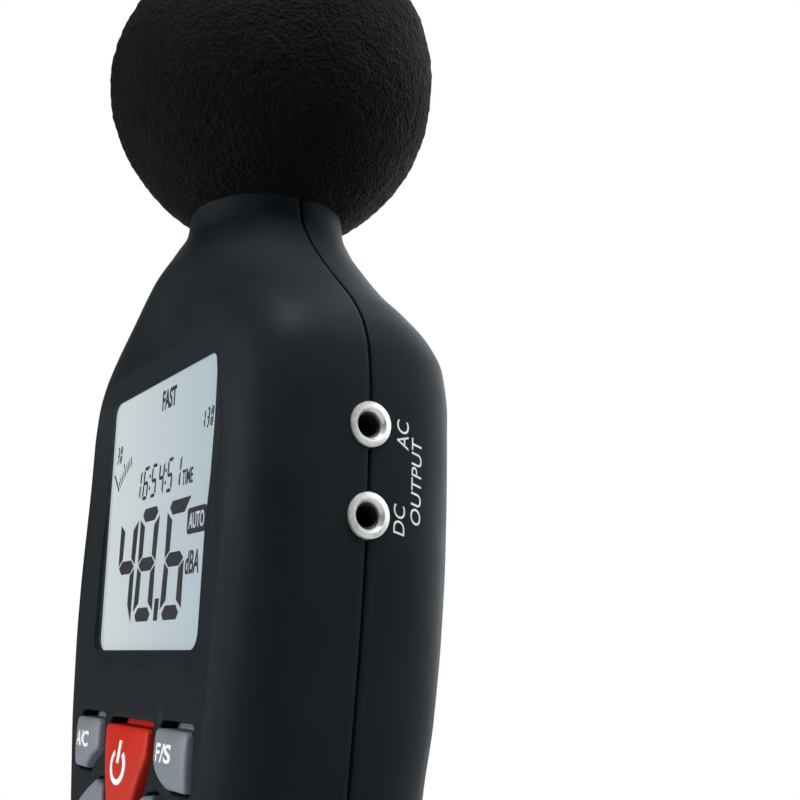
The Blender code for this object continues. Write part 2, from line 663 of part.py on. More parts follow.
def keypad():
    mat_outline = [(19.8, 85.5), (22.0, 104.0), (23.6, 117.4)]
    mat = add("keypad_mat",
              plate_mesh("keypad_mat", [fillet(mat_outline + mirrored(mat_outline), 1.5)],
                         MAT_FRONT_Y, BOARD_FRONT_Y - GAP), "rubber")
    hollow = [(18.2, 87.2), (20.4, 104.0), (22.0, 115.8)]
    cut(mat, "mat_hollow",
        plate_mesh("mat_hollow", [hollow + mirrored(hollow)], MAT_FRONT_Y + MAT_THICK, -5.0))
    for name, outline, slot in keys():
        x, z = outline_centre(outline)
        room = STEM_HALF + 0.5
        cut(mat, f"{name}_stem_hole", box_mesh(name, (x - room, -15.0, z - room), (x + room, -5.0, z + room)))
        key(name, outline, slot, (x, z))


def outline_centre(outline):
    """The middle of an outline's area."""
    area, x, z = 0.0, 0.0, 0.0
    for (x0, z0), (x1, z1) in zip(outline, outline[1:] + outline[:1]):
        part = x0 * z1 - x1 * z0
        area += part
        x += (x0 + x1) * part
        z += (z0 + z1) * part
    return x / (3 * area), z / (3 * area)


def key(name, outline, slot, centre):
    """A key: rounded cap, retaining flange behind the panel, and the stem that meets the board."""
    x, z = centre
    cap = plate_mesh(name, [fillet(outline, KEY_CORNER)], KEY_TOP_Y, FLANGE_FRONT_Y + 0.5)
    made = add(name, cap, slot)
    soften(made, 0.45)
    flange = fillet(grow(outline, FLANGE_MARGIN), KEY_CORNER + FLANGE_MARGIN)
    join(made, f"{name}_flange",
         plate_mesh(f"{name}_flange", [flange], FLANGE_FRONT_Y, FLANGE_FRONT_Y + FLANGE_THICK))
    join(made, f"{name}_stem",
         box_mesh(name, (x - STEM_HALF, FLANGE_FRONT_Y + 0.4, z - STEM_HALF),
                  (x + STEM_HALF, STEM_END_Y, z + STEM_HALF)))
    return made


# ---------------------------------------------------------------- sockets and trimmer

def jack(name, height):
    """A 3.5 mm socket: plastic body and the metal ring that shows in the case side."""
    inner, outer = JACK_BODY
    body = add(name, box_mesh(name, (inner, -3.0, height - 3.2), (outer, 3.0, height + 3.2)), "black_plastic")
    cut(body, f"{name}_bore",
        cylinder_mesh("bore", JACK_HOLE_RADIUS, (inner + 1.5, 0, height), (outer + 4.0, 0, height), "X", 20))
    depth = SOCKET_OUT - outer - GAP
    profile = [(JACK_HOLE_RADIUS, 0.0), (JACK_HOLE_RADIUS, depth - 0.5), (JACK_HOLE_RADIUS + 0.5, depth),
               (JACK_RING_RADIUS - 0.25, depth), (JACK_RING_RADIUS, depth - 0.25), (JACK_RING_RADIUS, 0.0)]
    turned(f"{name}_ring", profile, "nickel", (outer + GAP, 0, height), "X", 28)


def data_and_power_sockets():
    usb_z, power_z = SOCKET_Z
    depth, half = USB_HALF_DEPTH, USB_HALF_HEIGHT
    shield = box_mesh("usb_socket", (-33.4, -depth, usb_z - half), (-24.0, depth, usb_z + half))
    usb = add("usb_socket", shield, "steel")
    depth, half = depth - USB_HOLLOW, half - USB_HOLLOW
    hollow = box_mesh("usb_hollow", (-36.0, -depth, usb_z - half), (-25.0, depth, usb_z + half))
    cut(usb, "usb_hollow", hollow)
    join(usb, "usb_tongue", box_mesh("usb_tongue", (-32.0, -0.6, usb_z - 2.2), (-24.5, 0.4, usb_z + 2.2)))
    body = box_mesh("power_inlet", (-31.6, -3.0, power_z - 4.5), (-20.0, 3.0, power_z + 4.5))
    power = add("power_inlet", body, "black_plastic")
    nose = cylinder_mesh("nose", INLET_NOSE_RADIUS, (-SOCKET_OUT, 0, power_z), (-30.0, 0, power_z), "X", 28)
    bore = cylinder_mesh("bore", INLET_BORE_RADIUS, (-36.0, 0, power_z), (-23.0, 0, power_z), "X", 24)
    pin = cylinder_mesh("pin", INLET_PIN_RADIUS, (-33.0, 0, power_z), (-22.0, 0, power_z), "X", 12)
    join(power, "inlet_nose", nose)
    cut(power, "inlet_bore", bore)
    join(power, "inlet_pin", pin)


def trimmer():
    """The calibration trimmer; its slotted screw turns on the X axis."""
    low, high = TRIMMER_Z - TRIMMER_HALF, TRIMMER_Z + TRIMMER_HALF
    body = box_mesh("calibration_trimmer", (-29.6, -3.0, low), (-25.0, 3.0, high))
    add("calibration_trimmer", body, "trimmer_plastic")
    pivot = bpy.data.objects.new("trimmer_axis", None)
    PARTS.objects.link(pivot)
    pivot.location = Vector((-30.0, 0.0, TRIMMER_Z)) * MM
    profile = [(0.0, 0.0), (1.5, 0.0), (1.5, -1.8), (1.3, -2.0), (0.0, -2.0)]
    screw = turned("calibration_screw", profile, "brass", axis="X", steps=20, parent=pivot)
    slot = box_mesh("slot", (-4.0, -0.3, -3.0), (-1.4, 0.3, 3.0))
    tool = add("trimmer_slot", slot, None, parent=pivot)
    combine(screw, tool, "DIFFERENCE")


# ---------------------------------------------------------------- microphone and windscreen

def microphone():
    sleeve = [(SLEEVE_BORE, SLEEVE_TOP), (SLEEVE_RADIUS, SLEEVE_TOP), (SLEEVE_RADIUS, SLEEVE_BOTTOM),
              (SLEEVE_BORE, SLEEVE_BOTTOM)]
    turned("mic_sleeve", sleeve, "aluminium")
    capsule = [(0.0, CAPSULE_TOP), (CAPSULE_RADIUS, CAPSULE_TOP), (CAPSULE_RADIUS, CAPSULE_BOTTOM),
               (0.0, CAPSULE_BOTTOM)]
    turned("mic_capsule", capsule, "nickel")
    bottom = SLEEVE_TOP + GAP
    grid = [(0.0, GRID_TOP), (5.6, GRID_TOP), (SLEEVE_RADIUS, GRID_TOP - 0.75), (SLEEVE_RADIUS, bottom),
            (5.4, bottom), (5.4, GRID_TOP - GRID_THICK), (0.0, GRID_TOP - GRID_THICK)]
    cap = turned("mic_grid", grid, "nickel")
    for index in range(3):
        y = (index - 1) * 3.0
        slot = box_mesh("grid_slot", (-3.6, y - 0.5, GRID_TOP - 2.0), (3.6, y + 0.5, GRID_TOP + 4.0))
        cut(cap, f"grid_slot_{index}", slot)
    inner, outer = SLEEVE_RADIUS + GAP, GROMMET_RADIUS
    grommet = [(inner, GROMMET_TOP), (outer, GROMMET_TOP), (outer, GROMMET_BOTTOM), (inner, GROMMET_BOTTOM)]
    turned("mic_grommet", grommet, "rubber")
    route = [(0, 0, SLEEVE_BOTTOM - GAP), (0, 0.2, 178), (1.5, 2.2, 170), (2.0, 3.9, 164), (2.0, 4.1, 160.4)]
    wire("mic_lead", route, LEAD_RADIUS, "lead_black")


def windscreen():
    """The foam ball, with a bore for the microphone and a seat for the neck."""
    bm = bmesh.new()
    bmesh.ops.create_uvsphere(bm, u_segments=32, v_segments=18, radius=FOAM_RADIUS)
    ball = add("windscreen", mesh_of("windscreen", bm), "foam", (0, 0, FOAM_CENTRE_Z))
    cut(ball, "mic_room",
        cylinder_mesh("mic_room", SLEEVE_RADIUS + GAP, (0, 0, 180.0), (0, 0, GRID_TOP + 0.6), "Z"))
    cut(ball, "neck_seat",
        cylinder_mesh("neck_seat", FOAM_SEAT_RADIUS, (0, 0, 180.0), (0, 0, NECK_TOP + GAP), "Z"))


# ---------------------------------------------------------------- power and fasteners

def battery():
    front, back = BATTERY_FRONT_Y, BATTERY_BACK_Y
    cell = add("battery_9v", box_mesh("battery_9v", (-BATTERY_HALF_WIDTH, front, BATTERY_BOTTOM),
                                      (BATTERY_HALF_WIDTH, back, BATTERY_TOP)), "battery_can")
    soften(cell, 1.2)
    middle = (front + back) / 2
    for side, radius in ((-1, 2.8), (1, 3.9)):
        join(cell, f"terminal_{side}",
             cylinder_mesh("terminal", radius, (side * TERMINAL_X, middle, BATTERY_TOP - 1.0),
                           (side * TERMINAL_X, middle, BATTERY_TOP + TERMINAL_HEIGHT), "Z", 20))
    low = BATTERY_TOP + TERMINAL_HEIGHT + GAP
    plate = box_mesh("battery_clip", (-12.6, middle - 6.0, low), (12.6, middle + 6.0, low + 2.8))
    clip = add("battery_clip", plate, "lead_black")
    soften(clip, 0.6)
    for x, slot in ((-5.0, "lead_red"), (5.0, "lead_black")):
        route = [(x, middle, low + 2.8 + GAP), (x, middle - 0.5, 66.5), (x, -2.0, 72.0), (x, -5.5, 76.0),
                 (x, -6.9, 81.0)]
        wire("battery_" + slot, route, 0.7, slot)
    left, front, low = -15.0, -5.9, 10.4
    right, back, high = 15.0, 11.0, 66.2
    block = box_mesh("battery_tray", (left, front, low), (right, back, high))
    tray = add("battery_tray", block, "black_plastic")
    hollow = box_mesh("tray_hollow", (left + TRAY_WALL, front + TRAY_WALL, low + TRAY_WALL),
                      (right - TRAY_WALL, 20.0, high - TRAY_WALL))
    cut(tray, "tray_hollow", hollow)
    cut(tray, "tray_notch", box_mesh("tray_notch", (-7.5, -1.5, 60.0), (7.5, 20.0, 70.0)))


def fasteners():
    profile = [(0.0, 2.0), (2.0, 1.9), (HEAD_RADIUS, 1.2), (HEAD_RADIUS, 0.0), (SHANK_RADIUS, 0.0),
               (SHANK_RADIUS, -14.0), (0.0, -15.0)]
    for row, (x, z) in zip(("upper", "lower"), SCREW_PLACES):
        for side, hand in ((-1, "left"), (1, "right")):
            place = (side * x, SCREW_SEAT_Y + GAP, z)
            screw = turned(f"case_screw_{row}_{hand}", profile, "steel", place, "Y", 16)
            slot = box_mesh("drive_slot", (side * x - 1.5, 9.4, z - 0.35), (side * x + 1.5, 12.0, z + 0.35))
            cut(screw, f"drive_{row}_{hand}", slot)
    profile = [(TRIPOD_RADIUS, 0.0), (TRIPOD_RADIUS, -6.4), (TRIPOD_BORE_RADIUS, -6.4),
               (TRIPOD_BORE_RADIUS, 0.0)]
    turned("tripod_insert", profile, "brass", (0, TRIPOD_FACE_Y, TRIPOD_Z), "Y", 32)


front_shell()
rear_shell()
battery_door()
display()
boards()
keypad()
for jack_name, jack_height in zip(("ac_jack", "dc_jack"), SOCKET_Z):
    jack(jack_name, jack_height)
data_and_power_sockets()
trimmer()
microphone()
windscreen()
battery()
fasteners()
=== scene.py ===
"""The looks of a hand-held sound level meter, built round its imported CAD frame.

Lengths below are millimetres; MM turns them into metres where a mesh is made. The meter
stands on its base at Z = 0, the display faces -Y and the case halves meet in the plane Y = 0.
"""

import json
import math

import bmesh
import bpy
import numpy as np
from mathutils import Matrix, Vector, noise
from mathutils.geometry import delaunay_2d_cdt

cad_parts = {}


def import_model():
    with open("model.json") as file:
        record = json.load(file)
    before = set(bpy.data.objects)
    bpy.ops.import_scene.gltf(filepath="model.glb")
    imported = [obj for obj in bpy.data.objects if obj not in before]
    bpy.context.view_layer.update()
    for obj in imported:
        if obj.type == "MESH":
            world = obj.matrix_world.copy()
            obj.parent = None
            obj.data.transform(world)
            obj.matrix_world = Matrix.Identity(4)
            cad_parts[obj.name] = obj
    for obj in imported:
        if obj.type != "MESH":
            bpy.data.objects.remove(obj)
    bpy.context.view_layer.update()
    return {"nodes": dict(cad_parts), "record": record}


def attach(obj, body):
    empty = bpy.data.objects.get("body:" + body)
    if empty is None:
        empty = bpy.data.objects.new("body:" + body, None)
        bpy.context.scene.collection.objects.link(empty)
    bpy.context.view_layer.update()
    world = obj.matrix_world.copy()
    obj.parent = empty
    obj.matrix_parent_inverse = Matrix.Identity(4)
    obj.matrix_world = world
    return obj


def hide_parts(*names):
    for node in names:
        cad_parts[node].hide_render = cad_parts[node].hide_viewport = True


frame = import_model()

MM = 0.001
GAP = 0.3
SEAM = 0.2               # half of the parting gap
SEAM_BAND = 0.8
SEAM_ROUND = 0.25
TONGUE_INSET, TONGUE_WIDTH = 0.9, 1.1
TONGUE_FRONT_Y, TONGUE_REAR_Y = -0.18, 0.5
TONGUE_LOW, TONGUE_HIGH = 6.0, 184.0
TONGUE_CLEARANCE = 0.4   # between the tongue's ends and a socket's opening
WALL = 2.2
BODY = "meter"

# Case stations from the base up: height, half width, front depth, rear depth, and the
# exponents of the front and rear superellipse quarters.
CASE_STATIONS = [
    (3.0, 26.0, 15.0, 15.6, 3.2, 2.8),
    (25.0, 26.8, 15.6, 16.4, 3.2, 2.8),
    (50.0, 26.2, 16.2, 16.8, 3.4, 2.8),
    (75.0, 26.8, 17.4, 17.4, 4.0, 2.8),
    (92.0, 28.6, 18.6, 18.2, 4.6, 2.8),
    (109.0, 30.8, 19.0, 19.4, 5.0, 2.8),
    (119.0, 32.0, 19.1, 20.4, 5.2, 2.9),
    (130.0, 33.2, 19.1, 21.0, 5.1, 2.9),
    (141.0, 34.0, 18.9, 21.2, 4.9, 2.9),
    (152.0, 34.3, 18.7, 21.2, 4.8, 2.9),
    (160.0, 34.3, 18.6, 21.2, 4.8, 2.9),
    (166.0, 33.7, 18.5, 20.6, 4.6, 2.9),
    (170.0, 32.2, 18.3, 19.6, 4.2, 2.7),
    (174.0, 29.2, 17.9, 18.0, 3.6, 2.4),
    (178.0, 24.9, 17.4, 16.2, 3.0, 2.2),
    (183.4, 19.2, 16.3, 14.8, 2.5, 2.1),
    (188.0, 15.1, 14.0, 13.4, 2.2, 2.0),
    (191.5, 12.9, 12.3, 12.3, 2.0, 2.0),
    (196.5, 11.8, 11.8, 11.8, 2.0, 2.0),
]
BASE_FILLET = 3.0
NECK_FILLET = 1.5
NECK_TOP = CASE_STATIONS[-1][0] + NECK_FILLET
MIC_HOLE_RADIUS = 7.0

# The grid on each case half: the face columns span a share of the half width, and between
# PATCH_LOW and PATCH_HIGH the face is a triangulated patch that holds the openings.
FRONT_FACE_SHARE, REAR_FACE_SHARE = 0.88, 0.90
FACE_COLUMNS = 44
SIDE_COLUMNS = 22
PATCH_LOW, PATCH_HIGH = 5.0, 184.0

# Display
WINDOW_HALF_WIDTH, WINDOW_BOTTOM, WINDOW_TOP, WINDOW_CORNER = 20.9, 126.9, 166.4, 2.2
LIP_BACK_Y = -15.85
LIP_FRONT = [(126.9, -16.95), (143.0, -16.65), (149.0, -16.25), (157.0, -16.0), (166.4, -15.98)]
SURROUND_HALF_WIDTH, SURROUND_BOTTOM, SURROUND_TOP = 26.4, 124.1, 168.9
SURROUND_TAPER, TAPER_START = 0.10, 154.0    # how much narrower the surround is at its top
SURROUND_LOW_CORNER, SURROUND_HIGH_CORNER = 7.0, 4.5
SURROUND_SIDE_Y, SURROUND_TOP_Y = -17.5, -18.4
LCD_FACE_Y = -15.55

# Keypad
PANEL_Y = -17.5
PANEL_OUTLINE = [(20.0, 84.0), (21.4, 90.0), (22.8, 104.0), (24.4, 117.0), (25.0, 124.0)]
STEP_BAND = 2.0          # width of the soft step round the sunken panel
RIDGE_HEIGHT, RIDGE_START, RIDGE_WIDTH = 0.35, 0.7, 2.4    # the ridge outside the step
KEY_EDGE_Y = -18.15
KEY_DOME = 0.95
KEY_CLEARANCE = 0.45
KEY_TOP_CLEARANCE = 1.0
KEY_CORNER = 0.8
FLANGE_MARGIN, FLANGE_FRONT_Y, FLANGE_THICK = 0.7, -14.9, 0.8
STEM_HALF, STEM_END_Y = 2.0, -10.5
KEY_ROW_TOP, POWER_TOP = 116.9, 116.5
POWER_OUTLINE = [
    (-8.6, POWER_TOP), (-8.3, 113.0), (-1.2, 99.4), (1.2, 99.4), (8.3, 113.0), (8.6, POWER_TOP)]
UPPER_KEY = [(11.5, KEY_ROW_TOP), (11.3, 112.8), (16.5, 109.6), (22.2, 109.6), (22.3, KEY_ROW_TOP)]
MIDDLE_KEY = [(7.9, 108.0), (2.4, 97.4), (21.2, 97.4), (21.8, 102.3), (11.4, 108.5)]
LOWER_KEY = [(8.2, 95.0), (8.2, 88.0), (19.6, 88.0), (20.3, 95.0)]
CENTRE_KEY = [(-5.8, 95.0), (-5.8, 88.0), (5.8, 88.0), (5.8, 95.0)]

# Sockets, in the parting plane
SOCKET_Z = (155.9, 144.1)
RING_RADIUS, RING_HOLE_RADIUS, RING_OUT, RING_BACK = 3.0, 1.75, 34.6, 31.7
RING_GAP = 0.04
LINER_RADIUS = RING_HOLE_RADIUS - 0.02
TRIMMER_Z = 133.0
USB_HALF_DEPTH, USB_HALF_HEIGHT = 2.3, 4.3
INLET_HOLE_RADIUS, TRIMMER_HOLE_RADIUS = 3.6, 1.9
CUT_START, CUT_END = 28.0, 40.0    # how far out the side openings are cut, in X

# Back
DOOR_HALF_WIDTH, DOOR_BOTTOM, DOOR_TOP, DOOR_CORNER, DOOR_GAP = 15.5, 9.0, 70.0, 2.0, 0.4
SCREW_PLACES = [(16.0, 172.0), (18.5, 77.0)]
TRIPOD_Z, TRIPOD_HOLE_RADIUS = 96.0, 5.3

# Windscreen
FOAM_RADIUS, FOAM_CENTRE_Z, FOAM_BORE_RADIUS, FOAM_BORE_TOP = 26.35, 218.3, 6.65, 226.2
FOAM_SEAT_RADIUS = CASE_STATIONS[-1][1] + 0.1
FOAM_LEAN = Vector((0.45, 0.83, 0.0))    # how far its top leans over
# The height and the fineness of each part of its unevenness
FOAM_SWELLS = ((0.25, 3.1), (0.12, 17.0), (0.16, FOAM_RADIUS / 0.8))
FOAM_CROWN = 0.012       # the share by which its top is flattened

# Ink and display marks
INK_LIFT = 0.12
POWER_MARK_SPREAD = 1.2
TICK_TURN = 2.0          # degrees between the bars of the level scale
MARK_THICK = 0.03

# Stage and light
FLOOR_RADIUS, FLOOR_SIDES, FLOOR_DROP = 950.0, 128, 0.2
BACKDROP_DIRECTION = (-0.45, 0.86, 0.22)   # where the bright backdrop stands
BACKDROP_LIGHT, ROOM_LIGHT = 3.2, 0.004


# ---------------------------------------------------------------- materials

def feed(tree, made, inputs):
    """Sets a node's inputs, by name, to values or links them to other nodes' outputs."""
    for name, value in inputs.items():
        if isinstance(value, bpy.types.NodeSocket):
            tree.links.new(value, made.inputs[name])
        else:
            made.inputs[name].default_value = value


def node(tree, kind, inputs):
    made = tree.nodes.new("ShaderNode" + kind)
    feed(tree, made, inputs)
    return made


def object_place(tree):
    return tree.nodes.new("ShaderNodeTexCoord").outputs["Object"]


def noise_node(tree, coords, size, detail=4.0, stretch=(1.0, 1.0, 1.0)):
    """A noise whose features measure about size millimetres."""
    mapping = node(tree, "Mapping", {"Vector": coords, "Scale": stretch})
    return node(tree, "TexNoise", {"Vector": mapping.outputs["Vector"], "Scale": 1.0 / (size * MM),
                                   "Detail": detail})


def ramp_node(tree, factor, low, high, low_at=0.3, high_at=0.7):
    made = node(tree, "ValToRGB", {"Fac": factor})
    for element, position, colour in zip(made.color_ramp.elements, (low_at, high_at), (low, high)):
        element.position = position
        element.color = (*colour, 1.0)
    return made


def range_node(tree, value, low, high, start=0.3, end=0.7):
    return node(tree, "MapRange", {"Value": value, "From Min": start, "From Max": end,
                                   "To Min": low, "To Max": high})


def mixed(tree, first, second, factor, blend="MIX"):
    """The mix of two colours."""
    made = tree.nodes.new("ShaderNodeMix")
    made.data_type = "RGBA"
    made.blend_type = blend
    feed(tree, made, {"A": first, "B": second, "Factor": factor})
    return made.outputs["Result"]


def surface(name, colour, roughness, metallic=0.0, grain=0.2, bump=0.01, tone=0.12, patch=12.0,
            rough_change=0.05, stretch=(1.0, 1.0, 1.0), wear=None, sockets=()):
    """A Principled material: mottled tone, uneven gloss, fine grain and, with wear, paler edges."""
    made = bpy.data.materials.new(name)
    made.use_nodes = True
    tree = made.node_tree
    shader = tree.nodes["Principled BSDF"]
    coords = object_place(tree)
    wide = noise_node(tree, coords, patch, 3.0).outputs["Fac"]
    fine = noise_node(tree, coords, grain, 2.0, stretch).outputs["Fac"]
    darker = tuple(c * (1 - tone) for c in colour)
    paler = tuple(min(1.0, c * (1 + tone)) for c in colour)
    tint = ramp_node(tree, wide, darker, paler).outputs["Color"]
    dots = ramp_node(tree, fine, (0.72, 0.72, 0.72), (1.0, 1.0, 1.0), 0.3, 0.6)
    tint = mixed(tree, tint, dots.outputs["Color"], 0.35, "MULTIPLY")
    if wear:
        worn_colour, strength = wear
        edges = tree.nodes.new("ShaderNodeNewGeometry").outputs["Pointiness"]
        worn = range_node(tree, edges, 0.0, strength, 0.53, 0.62)
        tint = mixed(tree, tint, (*worn_colour, 1.0), worn.outputs["Result"])
    gloss = range_node(tree, wide, roughness - rough_change, roughness + rough_change)
    feed(tree, shader, {"Base Color": tint, "Roughness": gloss.outputs["Result"], "Metallic": metallic,
                        **dict(sockets)})
    if bump:
        relief = node(tree, "Bump", {"Strength": 1.0, "Distance": bump * MM, "Height": fine})
        feed(tree, shader, {"Normal": relief.outputs["Normal"]})
    return made


def foam_material():
    """Open-cell foam: painted shade darkens the cells between paler struts, with painted highlight specks
    where a strut catches the light.
    """
    made = surface("foam_open_cell", (0.012, 0.012, 0.013), 0.95, grain=0.9, bump=0.12, tone=0.25,
                   patch=6.0)
    tree = made.node_tree
    shader = tree.nodes["Principled BSDF"]
    cells = node(tree, "TexVoronoi", {"Vector": object_place(tree), "Scale": 1.0 / (0.6 * MM)})
    # Painted shade in the cells and painted highlight on the struts: near black at each cell's middle, paler
    # towards its edges.
    tint = ramp_node(tree, cells.outputs["Distance"], (0.0002, 0.0002, 0.0003),
                     (0.0026, 0.0027, 0.0034), 0.15, 0.75)
    relief = node(tree, "Bump", {"Distance": 0.25 * MM, "Height": cells.outputs["Distance"]})
    feed(tree, shader, {"Base Color": tint.outputs["Color"], "Normal": relief.outputs["Normal"],
                        "Specular IOR Level": 0.15})
    return made


def window_material():
    """The clear window: mostly see-through, with faint smears in its gloss."""
    made = surface("window_clear", (0.78, 0.82, 0.90), 0.08, grain=3.0, bump=0.0, tone=0.03,
                   rough_change=0.04)
    made.node_tree.nodes["Principled BSDF"].inputs["Alpha"].default_value = 0.02
    made.surface_render_method = "BLENDED"
    return made


def lcd_material(name, colour, painted_light_dim=None, painted_light_bright=None):
    """Liquid crystal: a faint pixel grain; given painted-light colours, it glows with painted light, brighter
    towards its upper left where the light falls.
    """
    made = surface(name, colour, 0.4, grain=0.12, bump=0.0, tone=0.03, patch=22.0, rough_change=0.05,
                   sockets=(("Specular IOR Level", 0.15),))
    if not painted_light_dim:
        return made
    tree = made.node_tree
    shader = tree.nodes["Principled BSDF"]
    # Painted light: the glow stands in for studio light on the crystal, its gradient brighter towards the
    # upper left.
    place = node(tree, "Mapping", {"Vector": object_place(tree), "Location": (0.5, 0.0, -2.95),
                                   "Scale": (-0.4 / (42.0 * MM), 0.0, 0.9 / (42.0 * MM))})
    fade = node(tree, "TexGradient", {"Vector": place.outputs["Vector"]})
    tint = ramp_node(tree, fade.outputs["Fac"], painted_light_dim, painted_light_bright, 0.0, 1.0)
    feed(tree, shader, {"Emission Color": tint.outputs["Color"], "Emission Strength": 1.0})
    return made


PAINTS = {
    "case": surface("case_rubberised", (0.0095, 0.0132, 0.0162), 0.6, grain=0.16, bump=0.012, tone=0.18,
                    patch=14.0, rough_change=0.06, wear=((0.04, 0.045, 0.05), 0.25),
                    sockets=(("Specular IOR Level", 0.1),)),
    "foam": foam_material(),
    "key_grey": surface("key_rubber_grey", (0.17, 0.19, 0.215), 0.55, grain=0.14, bump=0.01, tone=0.08,
                        wear=((0.30, 0.32, 0.36), 0.3)),
    "key_red": surface("key_rubber_red", (0.52, 0.016, 0.003), 0.5, grain=0.14, bump=0.01, tone=0.08,
                       wear=((0.85, 0.10, 0.04), 0.3), sockets=(("Specular IOR Level", 0.25),)),
    "lens": window_material(),
    # The display's pale face glows with painted light, brighter towards its upper left.
    "lcd": lcd_material("lcd_glass_pale_painted_glow", (0.12, 0.14, 0.16), (0.17, 0.24, 0.31), (0.62, 0.66, 0.60)),
    "backlight": surface("diffuser_white", (0.82, 0.85, 0.90), 0.5, tone=0.04),
    "white_plastic": surface("moulded_white", (0.72, 0.72, 0.69), 0.5, tone=0.06),
    "rubber": surface("rubber_black", (0.02, 0.02, 0.02), 0.8, grain=0.3, bump=0.02),
    "board": surface("board_green", (0.02, 0.15, 0.07), 0.4, grain=0.5, bump=0.01, tone=0.3, patch=4.0),
    "black_plastic": surface("moulded_black", (0.022, 0.022, 0.024), 0.48, grain=0.2, bump=0.01),
    "trimmer_plastic": surface("moulded_blue", (0.02, 0.06, 0.22), 0.4),
    "nickel": surface("nickel_plated", (0.97, 0.98, 0.90), 0.36, 0.55, grain=0.5, bump=0.003, tone=0.10,
                      patch=2.0, rough_change=0.08),
    "steel": surface("steel_turned", (0.45, 0.45, 0.46), 0.36, 1.0, grain=0.3, bump=0.006, tone=0.15,
                     patch=2.0, rough_change=0.1, stretch=(1.0, 6.0, 1.0)),
    "aluminium": surface("aluminium_anodised", (0.6, 0.61, 0.63), 0.36, 1.0, grain=0.25, bump=0.005,
                         stretch=(1.0, 1.0, 8.0)),
    "brass": surface("brass_turned", (0.70, 0.50, 0.21), 0.34, 1.0, grain=0.3, bump=0.006, tone=0.14,
                     patch=2.5, rough_change=0.1),
    "battery_can": surface("battery_wrap", (0.34, 0.26, 0.12), 0.35, tone=0.1),
    "lead_red": surface("insulation_red", (0.52, 0.02, 0.02), 0.5),
    "lead_black": surface("insulation_black", (0.02, 0.02, 0.02), 0.5),
}
INK_WHITE = surface("ink_white", (0.86, 0.88, 0.88), 0.5, grain=0.3, bump=0.0, tone=0.1, patch=1.5)
LCD_DARK = lcd_material("lcd_segment_dark", (0.014, 0.013, 0.014))
LCD_NAVY = lcd_material("lcd_box_navy", (0.008, 0.009, 0.024))
# The AUTO letters glow with painted light, brighter towards their upper left.
LCD_PALE = lcd_material("lcd_letters_pale_painted_glow", (0.15, 0.17, 0.19), (0.30, 0.34, 0.42), (0.46, 0.50, 0.56))


# ---------------------------------------------------------------- pieces

def placed(name, data):
    made = bpy.data.objects.new(name, data)
    bpy.context.scene.collection.objects.link(made)
    return made


def piece(name, points, faces, paint, body=BODY, slot=None, stands_for=(), sharp=35.0):
    """A mesh from points in millimetres, riding on a body."""
    mesh = bpy.data.meshes.new(name)
    mesh.from_pydata((np.asarray(points, float) * MM).tolist(), [], [list(map(int, f)) for f in faces])
    bm = bmesh.new()
    bm.from_mesh(mesh)
    bmesh.ops.remove_doubles(bm, verts=bm.verts, dist=1e-7)
    bmesh.ops.recalc_face_normals(bm, faces=bm.faces)
    bm.to_mesh(mesh)
    bm.free()
    return mesh_piece(name, mesh, paint, body, slot, stands_for, sharp)


def mesh_piece(name, mesh, paint, body=BODY, slot=None, stands_for=(), sharp=35.0):
    mesh.materials.clear()
    mesh.materials.append(paint)
    mesh.shade_smooth()
    mesh.set_sharp_from_angle(angle=math.radians(sharp))
    made = placed(name, mesh)
    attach(made, body)
    if stands_for:
        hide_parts(*stands_for)
    return made


def cut_out(target, cutters):
    """Takes closed meshes away from a piece, for good."""
    bpy.context.view_layer.update()
    joined = bmesh.new()
    for points, faces in cutters:
        made = [joined.verts.new(Vector(p) * MM) for p in points]
        for face in faces:
            joined.faces.new([made[i] for i in face])
    bmesh.ops.recalc_face_normals(joined, faces=joined.faces)
    mesh = bpy.data.meshes.new("cutter")
    joined.to_mesh(mesh)
    joined.free()
    tool = placed("cutter", mesh)
    step = target.modifiers.new("cut", "BOOLEAN")
    step.operation = "DIFFERENCE"
    step.solver = "EXACT"
    step.object = tool
    bpy.context.view_layer.update()
    evaluated = target.evaluated_get(bpy.context.evaluated_depsgraph_get())
    result = bpy.data.meshes.new_from_object(evaluated)
    target.modifiers.remove(step)
    old = target.data
    target.data = result
    bpy.data.meshes.remove(old)
    bpy.data.objects.remove(tool, do_unlink=True)
    target.data.shade_smooth()
    target.data.set_sharp_from_angle(angle=math.radians(35.0))


# ---------------------------------------------------------------- outlines

def fillet(outline, radius, steps=5):
    """The closed outline with each corner replaced by an arc."""
    rounded = []
    count = len(outline)
    for i in range(count):
        before, corner, after = (Vector(outline[(i + k) % count]) for k in (-1, 0, 1))
        into = (before - corner).normalized()
        out = (after - corner).normalized()
        half = into.angle(out) / 2
        longest = min((before - corner).length, (after - corner).length) * 0.48
        reach = min(radius / math.tan(half), longest)
        arc_radius = reach * math.tan(half)
        centre = corner + (into + out).normalized() * (arc_radius / math.sin(half))
        start = corner + into * reach - centre
        turn = start.angle_signed(corner + out * reach - centre)
        for step in range(steps + 1):
            rounded.append(tuple(centre + Matrix.Rotation(-turn * step / steps, 2) @ start))
    return rounded


def grow(outline, by):
    """A convex outline moved outwards by a distance, its corners mitred."""
    middle = sum((Vector(p) for p in outline), Vector((0.0, 0.0))) / len(outline)
    grown = []
    count = len(outline)
    for i in range(count):
        corner = Vector(outline[i])
        normals = []
        for a, b in ((outline[i - 1], outline[i]), (outline[i], outline[(i + 1) % count])):
            edge = Vector(b) - Vector(a)
            normal = Vector((edge.y, -edge.x)).normalized()
            if normal.dot(corner - middle) < 0:
                normal.negate()
            normals.append(normal)
        mitre = (normals[0] + normals[1]).normalized()
        grown.append(tuple(corner + mitre * (by / mitre.dot(normals[0]))))
    return grown


def mirrored(outline):
    return [(-x, z) for x, z in reversed(outline)]


def rectangle(half_width, bottom, top):
    return [(-half_width, bottom), (half_width, bottom), (half_width, top), (-half_width, top)]


